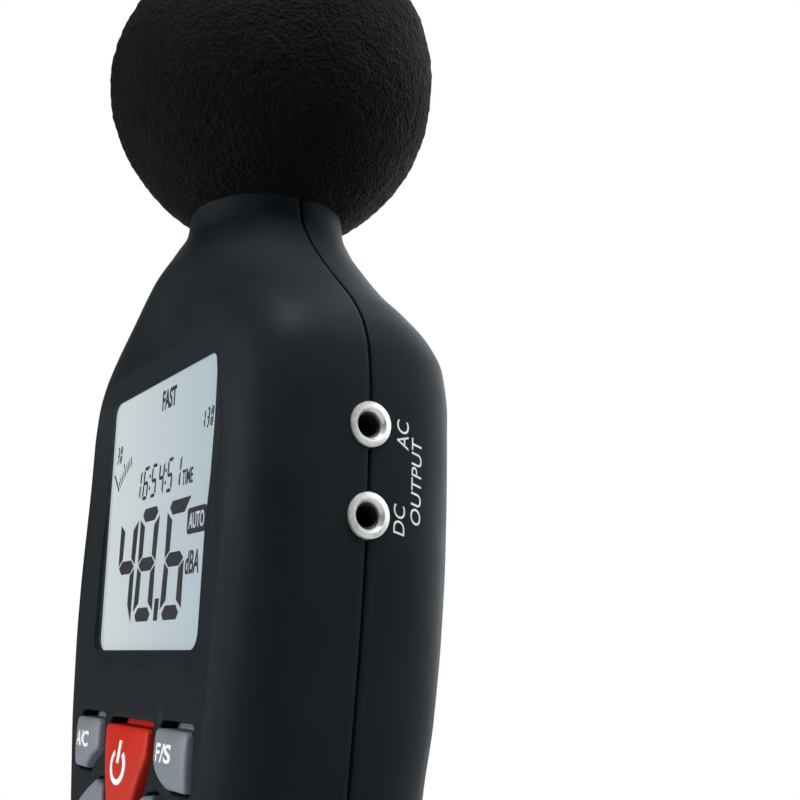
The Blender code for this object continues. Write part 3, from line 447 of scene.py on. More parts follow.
def refined(outline, step=1.2):
    """The closed outline with points added so that none are further apart than the step."""
    points = []
    for a, b in zip(outline, outline[1:] + outline[:1]):
        parts = max(1, math.ceil(math.dist(a, b) / step))
        for i in range(parts):
            points.append((a[0] + (b[0] - a[0]) * i / parts, a[1] + (b[1] - a[1]) * i / parts))
    return points


def round_rectangle(half_width, bottom, top, low_corner, high_corner, side_steps=24, corner_steps=8):
    """A rounded rectangle with the same number of points whatever its size."""
    corners = [
        ((half_width - low_corner, bottom + low_corner), low_corner, -90.0),
        ((half_width - high_corner, top - high_corner), high_corner, 0.0),
        ((-half_width + high_corner, top - high_corner), high_corner, 90.0),
        ((-half_width + low_corner, bottom + low_corner), low_corner, 180.0),
    ]
    arcs = []
    for (x, z), radius, first in corners:
        arcs.append([(x + radius * math.cos(math.radians(first + 90.0 * i / corner_steps)),
                      z + radius * math.sin(math.radians(first + 90.0 * i / corner_steps)))
                     for i in range(corner_steps + 1)])
    points = []
    for arc, after in zip(arcs, arcs[1:] + arcs[:1]):
        points += arc
        (x0, z0), (x1, z1) = arc[-1], after[0]
        points += [(x0 + (x1 - x0) * i / side_steps, z0 + (z1 - z0) * i / side_steps)
                   for i in range(1, side_steps)]
    return points


def circle(x, z, radius, steps=48):
    return [(x + radius * math.cos(2 * math.pi * i / steps), z + radius * math.sin(2 * math.pi * i / steps))
            for i in range(steps)]


def inside(points, outline):
    """Which of the points lie inside a closed outline."""
    points = np.asarray(points, float)
    a = np.asarray(outline, float)
    b = np.roll(a, -1, axis=0)
    x, z = points[:, 0, None], points[:, 1, None]
    crosses = (a[:, 1] > z) != (b[:, 1] > z)
    slope = (b[:, 0] - a[:, 0]) / np.where(b[:, 1] == a[:, 1], 1e-12, b[:, 1] - a[:, 1])
    left = x < a[:, 0] + (z - a[:, 1]) * slope
    return (crosses & left).sum(axis=1) % 2 == 1


def distance(points, outline):
    """The distance from each point to a closed outline, negative inside it."""
    points = np.asarray(points, float)
    a = np.asarray(outline, float)
    edge = np.roll(a, -1, axis=0) - a
    offset = points[:, None, :] - a[None]
    share = np.clip((offset * edge).sum(axis=2) / (edge**2).sum(axis=1), 0, 1)
    near = np.sqrt(((offset - share[..., None] * edge) ** 2).sum(axis=2)).min(axis=1)
    return np.where(inside(points, outline), -near, near)


# ---------------------------------------------------------------- the case surface

def smooth_value(height, column):
    """A station value at any height: monotone cubic between the stations."""
    heights = [row[0] for row in CASE_STATIONS]
    values = [row[column] for row in CASE_STATIONS]
    steps = [b - a for a, b in zip(heights, heights[1:])]
    slopes = [(b - a) / h for a, b, h in zip(values, values[1:], steps)]
    tangents = [slopes[0]]
    for i in range(1, len(slopes)):
        if slopes[i - 1] * slopes[i] <= 0:
            tangents.append(0.0)
            continue
        w1 = 2 * steps[i] + steps[i - 1]
        w2 = steps[i] + 2 * steps[i - 1]
        tangents.append((w1 + w2) / (w1 / slopes[i - 1] + w2 / slopes[i]))
    tangents.append(slopes[-1])
    i = 0
    while i < len(steps) - 1 and height > heights[i + 1]:
        i += 1
    t = (height - heights[i]) / steps[i]
    return ((1 + 2 * t) * (1 - t) ** 2 * values[i] + t * (1 - t) ** 2 * steps[i] * tangents[i]
            + t * t * (3 - 2 * t) * values[i + 1] + t * t * (t - 1) * steps[i] * tangents[i + 1])


TABLE_Z = np.linspace(CASE_STATIONS[0][0], CASE_STATIONS[-1][0], 1200)
TABLE = {column: np.array([smooth_value(z, column) for z in TABLE_Z]) for column in range(1, 6)}
START = SEAM + SEAM_BAND


def shape_at(z, front, inset=0.0):
    """Half width, depth beyond the straight band, and exponent at a height."""
    half = np.interp(z, TABLE_Z, TABLE[1]) - inset
    depth = np.interp(z, TABLE_Z, TABLE[2 if front else 3]) - inset - START
    return half, depth, np.interp(z, TABLE_Z, TABLE[4 if front else 5])


def case_y(x, z, front):
    """Y of the plain case surface above the face."""
    half, depth, power = shape_at(z, front)
    share = np.clip(np.abs(x) / half, 0, 0.999)
    y = START + depth * (1 - share**power) ** (1 / power)
    return -y if front else y


def case_x(y, z):
    """X of the case side at a Y and a height, on the rear half."""
    half, depth, power = shape_at(z, False)
    share = np.clip((y - START) / depth, 0, 0.999)
    return half * (1 - share**power) ** (1 / power)


def smoothstep(t):
    t = np.clip(t, 0, 1)
    return t * t * (3 - 2 * t)


def surround_outline():
    """The outer edge of the slope round the window, narrowing towards its top."""
    outline = round_rectangle(SURROUND_HALF_WIDTH, SURROUND_BOTTOM, SURROUND_TOP,
                              SURROUND_LOW_CORNER, SURROUND_HIGH_CORNER)
    height = SURROUND_TOP - TAPER_START
    return [(x * (1 - SURROUND_TAPER * float(smoothstep((z - TAPER_START) / height))), z) for x, z in outline]


def sunken_outline():
    """The keypad panel and the display surround as one sunken area."""
    upper = sorted((p for p in surround_outline() if p[0] > 0 and p[1] > 133.0), key=lambda p: (p[1], -p[0]))
    right = PANEL_OUTLINE[:-1] + [(25.2, 123.0), (25.7, 128.0)] + upper
    return right + mirrored(right)


SUNKEN = sunken_outline()


def front_y(x, z):
    """Y of the front face: the case surface, sunk softly to the panel and the surround."""
    x, z = np.atleast_1d(np.asarray(x, float)), np.atleast_1d(np.asarray(z, float))
    plain = case_y(x, z, True)
    level = SURROUND_SIDE_Y + (SURROUND_TOP_Y - SURROUND_SIDE_Y) * smoothstep((z - 146.0) / 22.4)
    away = distance(np.column_stack([x, z]), SUNKEN)
    sunk = 1 - smoothstep(away / STEP_BAND)
    low_down = 1 - smoothstep((z - 136.0) / 22.0)
    across = np.clip((away - RIDGE_START) / RIDGE_WIDTH, 0, 1)
    ridge = RIDGE_HEIGHT * low_down * np.sin(math.pi * across) ** 2
    return plain + np.where(level > plain, (level - plain) * sunk, 0.0) - ridge


def rear_y(x, z):
    return case_y(np.asarray(x, float), np.asarray(z, float), False)


class Skin:
    """Paired outer and inner points, and the outer faces; close() makes the wall between them."""

    def __init__(self):
        self.outer = []
        self.inner = []
        self.faces = []
        self.known = {}

    def add(self, outer, inner):
        key = tuple(round(float(v), 4) for v in outer)
        if key not in self.known:
            self.known[key] = len(self.outer)
            self.outer.append(tuple(float(v) for v in outer))
            self.inner.append(tuple(float(v) for v in inner))
        return self.known[key]

    def strip(self, first, second):
        """Quads between two rings of the same length."""
        count = len(first)
        for i in range(count):
            j = (i + 1) % count
            self.faces.append((first[i], first[j], second[j], second[i]))

    def strips(self, rings):
        """Closed strips between each ring and the next."""
        for first, second in zip(rings, rings[1:]):
            self.strip(first, second)

    def close(self):
        """Points and faces of the closed wall."""
        count = len(self.outer)
        used = {}
        for face in self.faces:
            for a, b in zip(face, face[1:] + face[:1]):
                used[(a, b)] = used.get((a, b), 0) + 1
                used.setdefault((b, a), 0)
        faces = list(self.faces) + [tuple(count + i for i in reversed(face)) for face in self.faces]
        for (a, b), times in used.items():
            if times and not used[(b, a)]:
                faces.append((b, a, count + a, count + b))
        return self.outer + self.inner, faces


def patch(skin, border, holes, loose, height, wall):
    """Fills a border of skin points with triangles, round the holes; loose points are (x, z)."""
    plane, edges, known = [], [], []
    for loop in [border, *holes]:
        first = len(plane)
        for index in loop:
            x, _, z = skin.outer[index]
            plane.append(Vector((x, z)))
            known.append(index)
        edges += [(first + i, first + (i + 1) % len(loop)) for i in range(len(loop))]
    edge_line = [tuple(p) for p in plane[:len(border)]]
    loose = np.asarray(loose, float).reshape(-1, 2)
    keep = distance(loose, edge_line) < -0.35
    for loop in holes:
        rim = [(skin.outer[i][0], skin.outer[i][2]) for i in loop]
        keep &= distance(loose, rim) > 0.35
    loose = loose[keep]
    levels = height(loose[:, 0], loose[:, 1])
    for (x, z), y in zip(loose, levels):
        plane.append(Vector((x, z)))
        known.append(skin.add((x, y, z), wall(x, y, z)))
    points, _, triangles, sources, _, _ = delaunay_2d_cdt(plane, edges, [], 0, 1e-6)
    middles = np.array([[sum(points[i][k] for i in face) / 3 for k in (0, 1)] for face in triangles])
    wanted = inside(middles, edge_line)
    for loop in holes:
        wanted &= ~inside(middles, [(skin.outer[i][0], skin.outer[i][2]) for i in loop])
    for face, want in zip(triangles, wanted):
        if want:
            skin.faces.append(tuple(known[sources[i][0]] for i in face))


def case_rows():
    """Rows of the case grid: height, station height, inset, and the outward normal in X and Z."""
    bottom, top = CASE_STATIONS[0][0], CASE_STATIONS[-1][0]
    rows = []
    for angle in np.linspace(0, math.pi / 2, 6)[:-1]:
        rows.append((bottom - BASE_FILLET * math.cos(angle), bottom, BASE_FILLET * (1 - math.sin(angle)),
                     math.sin(angle), -math.cos(angle)))
    for z in np.concatenate([np.arange(bottom, 80.0, 2.0), np.arange(80.0, 172.0, 1.15),
                             np.arange(172.0, top - 0.4, 0.7), [top]]):
        rows.append((z, z, 0.0, 1.0, 0.0))
    for angle in np.linspace(0, math.pi / 2, 6)[1:]:
        rows.append((top + NECK_FILLET * math.sin(angle), top, NECK_FILLET * (1 - math.cos(angle)),
                     math.cos(angle), math.sin(angle)))
    rows.append((NECK_TOP, top, CASE_STATIONS[-1][1] - MIC_HOLE_RADIUS, 0.0, 1.0))
    return rows


def side_columns(half, depth, power, inner_half, inner_depth, face_share):
    """Outer and inner (x, y) pairs from the face's edge round the corner to the parting plane."""
    angles = math.acos(face_share ** (power / 2)) * np.linspace(1, 0, 400) ** 3
    x = half * np.cos(angles) ** (2 / power)
    y = depth * np.sin(angles) ** (2 / power)
    run = np.concatenate([[0], np.cumsum(np.hypot(np.diff(x), np.diff(y)))])
    picked = np.interp(np.linspace(0, run[-1], SIDE_COLUMNS), run, angles)
    c, s = np.cos(picked) ** (2 / power), np.sin(picked) ** (2 / power)
    pairs = [((half * a, START + depth * b), (inner_half * a, START + inner_depth * b))
             for a, b in zip(c[1:], s[1:])]
    edge = [(half, SEAM + SEAM_ROUND), (half - 0.3 * SEAM_ROUND, SEAM + 0.3 * SEAM_ROUND),
            (half - SEAM_ROUND, SEAM)]
    ends = [(inner_half, SEAM + SEAM_ROUND), (inner_half, SEAM + 0.3 * SEAM_ROUND), (inner_half, SEAM)]
    return pairs + list(zip(edge, ends))


def case_grid(skin, front):
    """The structured part of one case half; returns the rows of indices, row heights and face columns."""
    side = -1.0 if front else 1.0
    face_share = FRONT_FACE_SHARE if front else REAR_FACE_SHARE
    grid, heights = [], []
    for z, station, inset, out_x, out_z in case_rows():
        half, depth, power = (float(v) for v in shape_at(station, front, inset))
        inner_half = half - WALL * out_x
        inner_depth = depth - WALL * out_x
        inner_z = z - WALL * out_z
        face = []
        for share in np.linspace(-face_share, face_share, FACE_COLUMNS + 1):
            bulge = (1 - abs(share) ** power) ** (1 / power)
            face.append(((share * half, START + depth * bulge),
                         (share * inner_half, START + inner_depth * bulge)))
        flank = side_columns(half, depth, power, inner_half, inner_depth, face_share)
        mirror = [((-a, b), (-c, d)) for (a, b), (c, d) in reversed(flank)]
        row = [skin.add((a, side * b, z), (c, side * d, inner_z))
               for (a, b), (c, d) in mirror + face + flank]
        grid.append(row)
        heights.append(z)
    return grid, heights, len(mirror)


def shell_wall(front):
    """Where the inner point of a face point lies: straight behind it, and inwards near the sides."""
    side = -1.0 if front else 1.0
    face_share = FRONT_FACE_SHARE if front else REAR_FACE_SHARE

    def wall(x, y, z):
        half = float(np.interp(z, TABLE_Z, TABLE[1]))
        inward = float(smoothstep((abs(x) / half - face_share + 0.16) / 0.16))
        return x * (1 - inward * WALL / half), y - side * WALL, z
    return wall


def case_skin(front, make_openings, height, loose_points):
    skin = Skin()
    grid, heights, first = case_grid(skin, front)
    last = first + FACE_COLUMNS
    low = next(i for i, z in enumerate(heights) if z >= PATCH_LOW)
    high = next(i for i, z in enumerate(heights) if z >= PATCH_HIGH)
    for r in range(len(grid) - 1):
        for c in range(len(grid[r]) - 1):
            if low <= r < high and first <= c < last:
                continue
            skin.faces.append((grid[r][c], grid[r][c + 1], grid[r + 1][c + 1], grid[r + 1][c]))
    skin.faces.append(tuple(reversed(grid[0])))
    border = grid[low][first:last] + [grid[r][last] for r in range(low, high)]
    border += grid[high][last:first:-1] + [grid[r][first] for r in range(high, low, -1)]
    loose = [(skin.outer[grid[r][c]][0], skin.outer[grid[r][c]][2])
             for r in range(low + 1, high) for c in range(first + 1, last)]
    patch(skin, border, make_openings(skin), loose_points(np.array(loose)), height, shell_wall(front))
    return skin


def ring(skin, outline, outer_y, inner_outline=None, inner_y=None):
    """A ring of points; the Ys are numbers or functions of x and z."""
    made = []
    for i, (x, z) in enumerate(outline):
        y = float(np.ravel(outer_y(x, z))[0]) if callable(outer_y) else outer_y
        inner_x, inner_z = inner_outline[i] if inner_outline else (x, z)
        back = inner_y(x, z) if callable(inner_y) else inner_y
        made.append(skin.add((x, y, z), (inner_x, float(np.ravel(back)[0]), inner_z)))
    return made


# ---------------------------------------------------------------- front shell

def keys():
    """Every key's name, outline, slot and legend."""
    return [
        ("key_power", POWER_OUTLINE, "key_red"),
        ("key_ac_weighting", mirrored(UPPER_KEY), "key_grey"),
        ("key_fast_slow", UPPER_KEY, "key_grey"),
        ("key_max_min", mirrored(MIDDLE_KEY), "key_grey"),
        ("key_hold", MIDDLE_KEY, "key_grey"),
        ("key_level_up", mirrored(LOWER_KEY), "key_grey"),
        ("key_backlight", CENTRE_KEY, "key_grey"),
        ("key_level_down", LOWER_KEY, "key_grey"),
    ]


def area_centre(outline):
    area, x, z = 0.0, 0.0, 0.0
    for (x0, z0), (x1, z1) in zip(outline, outline[1:] + outline[:1]):
        part = x0 * z1 - x1 * z0
        area += part
        x += (x0 + x1) * part
        z += (z0 + z1) * part
    return x / (3 * area), z / (3 * area)


def key_opening(outline):
    """The opening round a key; above the first row it stands open further."""
    lift = KEY_TOP_CLEARANCE - KEY_CLEARANCE
    raised = [(x, z + lift if z > POWER_TOP else z) for x, z in grow(outline, KEY_CLEARANCE)]
    return fillet(raised, KEY_CORNER + KEY_CLEARANCE)


def lip_y(z):
    return float(np.interp(z, [row[0] for row in LIP_FRONT], [row[1] for row in LIP_FRONT]))


def surround_rings(skin):
    """The slope round the window, from its outer edge to the lip; returns the outer ring."""
    lip = round_rectangle(WINDOW_HALF_WIDTH, WINDOW_BOTTOM, WINDOW_TOP, WINDOW_CORNER, WINDOW_CORNER)
    outer = surround_outline()
    rings = []
    beyond = grow(outer, 0.35)
    rings.append(ring(skin, beyond, front_y, None, LIP_BACK_Y))
    edges = front_y([x for x, _ in outer], [z for _, z in outer])
    for share, drop in ((1.0, 0.05), (0.95, 0.0), (0.8, 0.0), (0.5, 0.0), (0.2, 0.0), (0.06, 0.0),
                        (0.02, -0.05), (0.0, 0.12)):
        line = [(a + (c - a) * share, b + (d - b) * share) for (a, b), (c, d) in zip(lip, outer)]
        levels = [lip_y(z) + (edge - lip_y(z)) * share + drop for (_, z), edge in zip(lip, edges)]
        rings.append([skin.add((x, y, z), (x, LIP_BACK_Y, z)) for (x, z), y in zip(line, levels)])
    skin.strips(rings)
    return rings[0]


def front_openings(skin):
    holes = [surround_rings(skin)]
    for _, outline, _ in keys():
        opening = key_opening(outline)
        rings = [ring(skin, grow(opening, out), PANEL_Y + drop, None, PANEL_Y + WALL)
                 for out, drop in ((0.36, 0.0), (0.16, 0.05), (0.04, 0.18), (0.0, 0.36))]
        skin.strips(rings)
        holes.append(rings[0])
    return holes


def front_points(loose):
    """The grid's loose points, with finer rows along the soft step."""
    away = distance(loose, SUNKEN)
    kept = loose[(away < -0.5) | (away > STEP_BAND + 0.4)]
    rows = [refined(grow(refined(SUNKEN, 1.0), out), 1.2) for out in np.linspace(0.0, STEP_BAND, 6)]
    extra = [p for row in rows[1:] for p in row]
    base = [p for p in rows[0] if p[1] < SURROUND_BOTTOM - 1.0]
    return np.concatenate([kept, np.array(extra), np.array(base)])


def lathe(profile, steps=64, closed=False):
    """Points and faces of a turned shape about Z: the profile is (radius, height)."""
    points, faces = [], []
    for radius, height in profile:
        points += [(*place, height) for place in circle(0.0, 0.0, radius, steps)]
    rows = len(profile)
    for r in range(rows if closed else rows - 1):
        below, above = r * steps, (r + 1) % rows * steps
        for i in range(steps):
            j = (i + 1) % steps
            faces.append((below + i, below + j, above + j, above + i))
    if not closed:
        faces.append(tuple(range(steps)))
        faces.append(tuple(reversed(range((rows - 1) * steps, rows * steps))))
    return points, faces


def rod(radius, start, end, axis, at, steps=40):
    """A closed cylinder along X, Y or Z between two levels; at gives the other two coordinates."""
    points, faces = lathe([(radius, start), (radius, end)], steps)
    if axis == "X":
        points = [(z, x + at[0], y + at[1]) for x, y, z in points]
    elif axis == "Y":
        points = [(x + at[0], z, y + at[1]) for x, y, z in points]
    else:
        points = [(x + at[0], y + at[1], z) for x, y, z in points]
    return points, faces


def block(low, high):
    corners = [(x, y, z) for z in (low[2], high[2]) for y in (low[1], high[1]) for x in (low[0], high[0])]
    return corners, [(0, 1, 3, 2), (4, 6, 7, 5), (0, 4, 5, 1), (1, 5, 7, 3), (3, 7, 6, 2), (2, 6, 4, 0)]


def side_cutters():
    """The openings that both case halves share, in the parting plane."""
    usb_z, inlet_z = SOCKET_Z
    cutters = [rod(RING_RADIUS + RING_GAP, CUT_START, CUT_END, "X", (0.0, z), 72) for z in SOCKET_Z]
    cutters.append(block((-CUT_END, -USB_HALF_DEPTH, usb_z - USB_HALF_HEIGHT),
                         (-CUT_START, USB_HALF_DEPTH, usb_z + USB_HALF_HEIGHT)))
    for radius, z in ((INLET_HOLE_RADIUS, inlet_z), (TRIMMER_HOLE_RADIUS, TRIMMER_Z)):
        cutters.append(rod(radius, -CUT_END, -CUT_START, "X", (0.0, z)))
    return cutters


def front_shell():
    skin = case_skin(True, front_openings, front_y, front_points)
    points, faces = skin.close()
    shell = piece("front_case", points, faces, PAINTS["case"], slot="case", stands_for=("front_shell",))
    cut_out(shell, side_cutters())


# ---------------------------------------------------------------- rear shell and battery door

def parting_tongue():
    """The rear half's tongue: it closes the parting gap behind its groove, clear of the sockets."""
    points, faces = [], []
    high_z, low_z = SOCKET_Z
    left = ((TRIMMER_Z, TRIMMER_HOLE_RADIUS), (low_z, INLET_HOLE_RADIUS), (high_z, USB_HALF_HEIGHT))
    for side, openings in ((1.0, ((low_z, RING_RADIUS), (high_z, RING_RADIUS))), (-1.0, left)):
        ends = [TONGUE_LOW]
        for z, half_height in openings:
            reach = half_height + TONGUE_CLEARANCE
            ends += [z - reach, z + reach]
        ends.append(TONGUE_HIGH)
        for low, high in zip(ends[::2], ends[1::2]):
            first = len(points)
            for z in np.linspace(low, high, max(2, int(high - low) + 1)):
                outer = float(np.interp(z, TABLE_Z, TABLE[1])) - TONGUE_INSET
                inner = outer - TONGUE_WIDTH
                points += [(side * outer, TONGUE_FRONT_Y, z), (side * outer, TONGUE_REAR_Y, z),
                           (side * inner, TONGUE_REAR_Y, z), (side * inner, TONGUE_FRONT_Y, z)]
            last = len(points) - 4
            for row in range(first, last, 4):
                faces += [(row + i, row + (i + 1) % 4, row + 4 + (i + 1) % 4, row + 4 + i) for i in range(4)]
            faces += [tuple(range(first, first + 4)), tuple(range(last, last + 4))]
    piece("parting_tongue", points, faces, PAINTS["case"], slot="case")


def door_outline(grown=0.0):
    outline = rectangle(DOOR_HALF_WIDTH + grown, DOOR_BOTTOM - grown, DOOR_TOP + grown)
    return refined(fillet(outline, DOOR_CORNER + grown))


def sunk(height, depth):
    return lambda x, z: height(x, z) - depth


def rear_openings(skin):
    holes = []
    opening = door_outline(DOOR_GAP)
    rings = [ring(skin, grow(opening, out), sunk(rear_y, drop), None, sunk(rear_y, WALL + 0.1))
             for out, drop in ((0.4, 0.0), (0.16, 0.06), (0.04, 0.18), (0.0, 0.36))]
    skin.strips(rings)
    holes.append(rings[0])
    places = [(side * x, z, 2.9, 8.0, 1.6) for side in (-1, 1) for x, z in SCREW_PLACES]
    places.append((0.0, TRIPOD_Z, TRIPOD_HOLE_RADIUS, 12.0, None))
    for x, z, radius, floor, hole in places:
        tube = circle(x, z, radius + 1.9)
        rings = [ring(skin, circle(x, z, radius + 2.1), rear_y, None, sunk(rear_y, WALL)),
                 ring(skin, circle(x, z, radius + 0.3), rear_y, tube, sunk(rear_y, WALL + 0.1)),
                 ring(skin, circle(x, z, radius + 0.08), sunk(rear_y, 0.1), tube, sunk(rear_y, WALL + 0.3)),
                 ring(skin, circle(x, z, radius), sunk(rear_y, 0.3), tube, sunk(rear_y, WALL + 0.5)),
                 ring(skin, circle(x, z, radius), floor, tube, floor - (1.8 if hole else 0.2))]
        if hole:
            rings.append(ring(skin, circle(x, z, hole), floor, circle(x, z, hole), floor - 1.8))
        skin.strips(rings)
        holes.append(rings[0])
    return holes


def rear_shell():
    skin = case_skin(False, rear_openings, rear_y, lambda loose: loose)
    points, faces = skin.close()
    shell = piece("rear_case", points, faces, PAINTS["case"], slot="case", stands_for=("rear_shell",))
    cut_out(shell, side_cutters())


def door_y(x, z):
    """The door follows the case, with thumb ribs near its top."""
    x, z = np.atleast_1d(np.asarray(x, float)), np.atleast_1d(np.asarray(z, float))
    ribs = np.maximum(0, np.cos(2 * math.pi * (z - 57.0) / 2.4))
    spread = smoothstep((7.0 - np.abs(x)) / 1.2) * smoothstep((z - 52.0) / 0.8) * smoothstep((62.5 - z) / 0.8)
    return rear_y(x, z) + 0.45 * ribs * spread


def battery_door():
    skin = Skin()
    outline = door_outline()
    rings = [ring(skin, grow(outline, out), sunk(rear_y, drop), None, sunk(rear_y, WALL))
             for out, drop in ((0.0, 0.4), (-0.05, 0.2), (-0.18, 0.06), (-0.42, 0.0))]
    skin.strips(rings)
    loose = [(x, z) for z in np.arange(DOOR_BOTTOM + 0.8, DOOR_TOP, 0.6)
             for x in np.arange(-DOOR_HALF_WIDTH + 0.9, DOOR_HALF_WIDTH, 0.9)]
    patch(skin, rings[-1], [], loose, door_y, lambda x, y, z: (x, float(rear_y(x, z)) - WALL, z))
    points, faces = skin.close()
    piece("door_plate", points, faces, PAINTS["case"], "battery_door", "case", ("battery_door",))


# ---------------------------------------------------------------- keys

def dome(outline):
    """Y of a key's domed top, as a function of x and z."""
    low, high = np.min(outline, axis=0), np.max(outline, axis=0)
    middle, half = (low + high) / 2, (high - low) / 2 * 1.03

    def top(x, z):
        across = np.clip(np.abs((np.asarray(x, float) - middle[0]) / half[0]), 0, 1)
        along = np.clip(np.abs((np.asarray(z, float) - middle[1]) / half[1]), 0, 1)
        return KEY_EDGE_Y - KEY_DOME * (1 - across**2.2) * (1 - along**2.6)
    return top


def key(name, outline, slot):
    """A domed cap on a skirt, its flange behind the panel and its stem."""
    top = dome(outline)
    base = refined(fillet(outline, KEY_CORNER, 6), 0.9)
    flange = grow(base, FLANGE_MARGIN)
    back = FLANGE_FRONT_Y + FLANGE_THICK
    skin = Skin()
    nowhere = (0.0, 0.0, 0.0)
    rings = [[skin.add((x, back, z), nowhere) for x, z in flange],
             [skin.add((x, FLANGE_FRONT_Y, z), nowhere) for x, z in flange],
             [skin.add((x, FLANGE_FRONT_Y, z), nowhere) for x, z in base]]
    for out, drop in ((0.0, 0.5), (-0.06, 0.24), (-0.2, 0.08), (-0.5, 0.0)):
        line = grow(base, out)
        rings.append([skin.add((x, float(top(x, z)) + drop, z), nowhere) for x, z in line])
    skin.strips(rings)
    skin.faces.append(tuple(rings[0]))
    low, high = np.min(base, axis=0), np.max(base, axis=0)
    loose = [(x, z) for x in np.arange(low[0], high[0], 0.7) for z in np.arange(low[1], high[1], 0.7)]
    patch(skin, rings[-1], [], loose, top, lambda x, y, z: nowhere)
    points, faces = list(skin.outer), list(skin.faces)
    x, z = area_centre(outline)
    stem, stem_faces = block((x - STEM_HALF, back - 0.1, z - STEM_HALF),
                             (x + STEM_HALF, STEM_END_Y, z + STEM_HALF))
    first = len(points)
    points += stem
    faces += [tuple(first + i for i in face) for face in stem_faces]
    piece(f"{name}_cap", points, faces, PAINTS[slot], name, slot, (name,))


# ---------------------------------------------------------------- lettering and marks

def letters(text, width, height, shear=0.0, offset=0.0):
    """Flat filled lettering as points (u, v) and faces, fitted to a box centred at zero."""
    curve = bpy.data.curves.new("letters", "FONT")
    curve.body = text
    curve.shear = shear
    curve.offset = offset
    curve.resolution_u = 6
    holder = placed("letters", curve)
    bpy.context.view_layer.update()
    mesh = bpy.data.meshes.new_from_object(holder.evaluated_get(bpy.context.evaluated_depsgraph_get()))
    bm = bmesh.new()
    bm.from_mesh(mesh)
    bmesh.ops.triangulate(bm, faces=bm.faces)
    bmesh.ops.remove_doubles(bm, verts=bm.verts, dist=1e-5)
    places = np.array([v.co[:2] for v in bm.verts])
    faces = [tuple(v.index for v in face.verts) for face in bm.faces]
    bm.free()
    bpy.data.objects.remove(holder, do_unlink=True)
    bpy.data.meshes.remove(mesh)
    low, high = places.min(axis=0), places.max(axis=0)
    scale = np.array([width, height]) / (high - low)
    return (places - (low + high) / 2) * scale, faces


def slab(points, faces, lift):
    """Closed thin letters: the given faces and a copy of them pushed back by a vector."""
    points = [tuple(p) for p in points]
    count = len(points)
    solid = [tuple(face) for face in faces] + [tuple(count + i for i in reversed(face)) for face in faces]
    directed = {}
    for face in faces:
        for a, b in zip(face, tuple(face[1:]) + (face[0],)):
            directed[(a, b)] = True
    for a, b in directed:
        if (b, a) not in directed:
            solid.append((b, a, count + a, count + b))
    return points + [tuple(np.add(p, lift)) for p in points], solid


class Marks:
    """Flat marks gathered into one mesh."""

    def __init__(self):
        self.points = []
        self.faces = []

    def add(self, places, faces):
        first = len(self.points)
        self.points += [tuple(p) for p in places]
        self.faces += [tuple(first + i for i in face) for face in faces]

    def polygon(self, outline):
        self.add(outline, [tuple(range(len(outline)))])

    def bar(self, near, far, across):
        self.polygon([tuple(p) for p in (near - across, far - across, far + across, near + across)])

    def text(self, words, x, z, width, height, shear=0.0, offset=0.0):
        places, faces = letters(words, width, height, shear, offset)
        self.add(places + np.array([x, z]), faces)


def arc_band(x, z, inner, outer, start, end, steps=28):
    angles = [math.radians(start + (end - start) * i / steps) for i in range(steps + 1)]
    return ([(x + outer * math.cos(a), z + outer * math.sin(a)) for a in angles]
            + [(x + inner * math.cos(a), z + inner * math.sin(a)) for a in reversed(angles)])


def band_strip(marks, x, z, inner, outer, start, end, steps=28):
    """An arc band as quads."""
    outline = arc_band(x, z, inner, outer, start, end, steps)
    count = len(outline)
    marks.add(outline, [(i, i + 1, count - 2 - i, count - 1 - i) for i in range(steps)])


def key_marks(name):
    marks = Marks()
    if name == "key_power":
        band_strip(marks, 0.0, 111.2, 1.75, 2.5, 128.0, 412.0)
        marks.polygon([(-0.4, 111.6), (0.4, 111.6), (0.4, 114.6), (-0.4, 114.6)])
        marks.points = [(x * POWER_MARK_SPREAD, z) for x, z in marks.points]
    if name == "key_ac_weighting":
        marks.text("A/C", -16.7, 113.9, 5.4, 2.3, offset=0.025)
    if name == "key_fast_slow":
        marks.text("F/S", 16.7, 114.1, 5.2, 2.3, offset=0.025)
    if name == "key_max_min":
        marks.text("MAX", -12.0, 103.2, 5.2, 1.8, offset=0.01)
        marks.text("MIN", -12.0, 100.4, 4.6, 1.8, offset=0.01)
    if name == "key_hold":
        marks.text("HOLD", 12.4, 101.9, 7.0, 2.1, offset=0.01)
    if name == "key_level_up":
        marks.polygon([(-15.6, 90.2), (-12.4, 90.2), (-14.0, 93.0)])
    if name == "key_level_down":
        marks.polygon([(12.4, 92.9), (14.0, 90.1), (15.6, 92.9)])
    if name == "key_backlight":
        band_strip(marks, 0.0, 91.6, 0.75, 1.15, 0.0, 360.0)
        for turn in range(8):
            a = math.radians(45.0 * turn)
            along, across = Vector((math.cos(a), math.sin(a))), Vector((-math.sin(a), math.cos(a))) * 0.17
            near, far = Vector((0.0, 91.6)) + along * 1.5, Vector((0.0, 91.6)) + along * 2.2
            marks.bar(near, far, across)
    return marks


def key_legend(name, outline):
    marks = key_marks(name)
    top = dome(outline)
    raised = [(x, float(top(x, z)) - INK_LIFT, z) for x, z in marks.points]
    points, faces = slab(raised, marks.faces, (0.0, 0.2, 0.0))
    piece(f"{name}_legend", points, faces, INK_WHITE, name, "white_plastic")


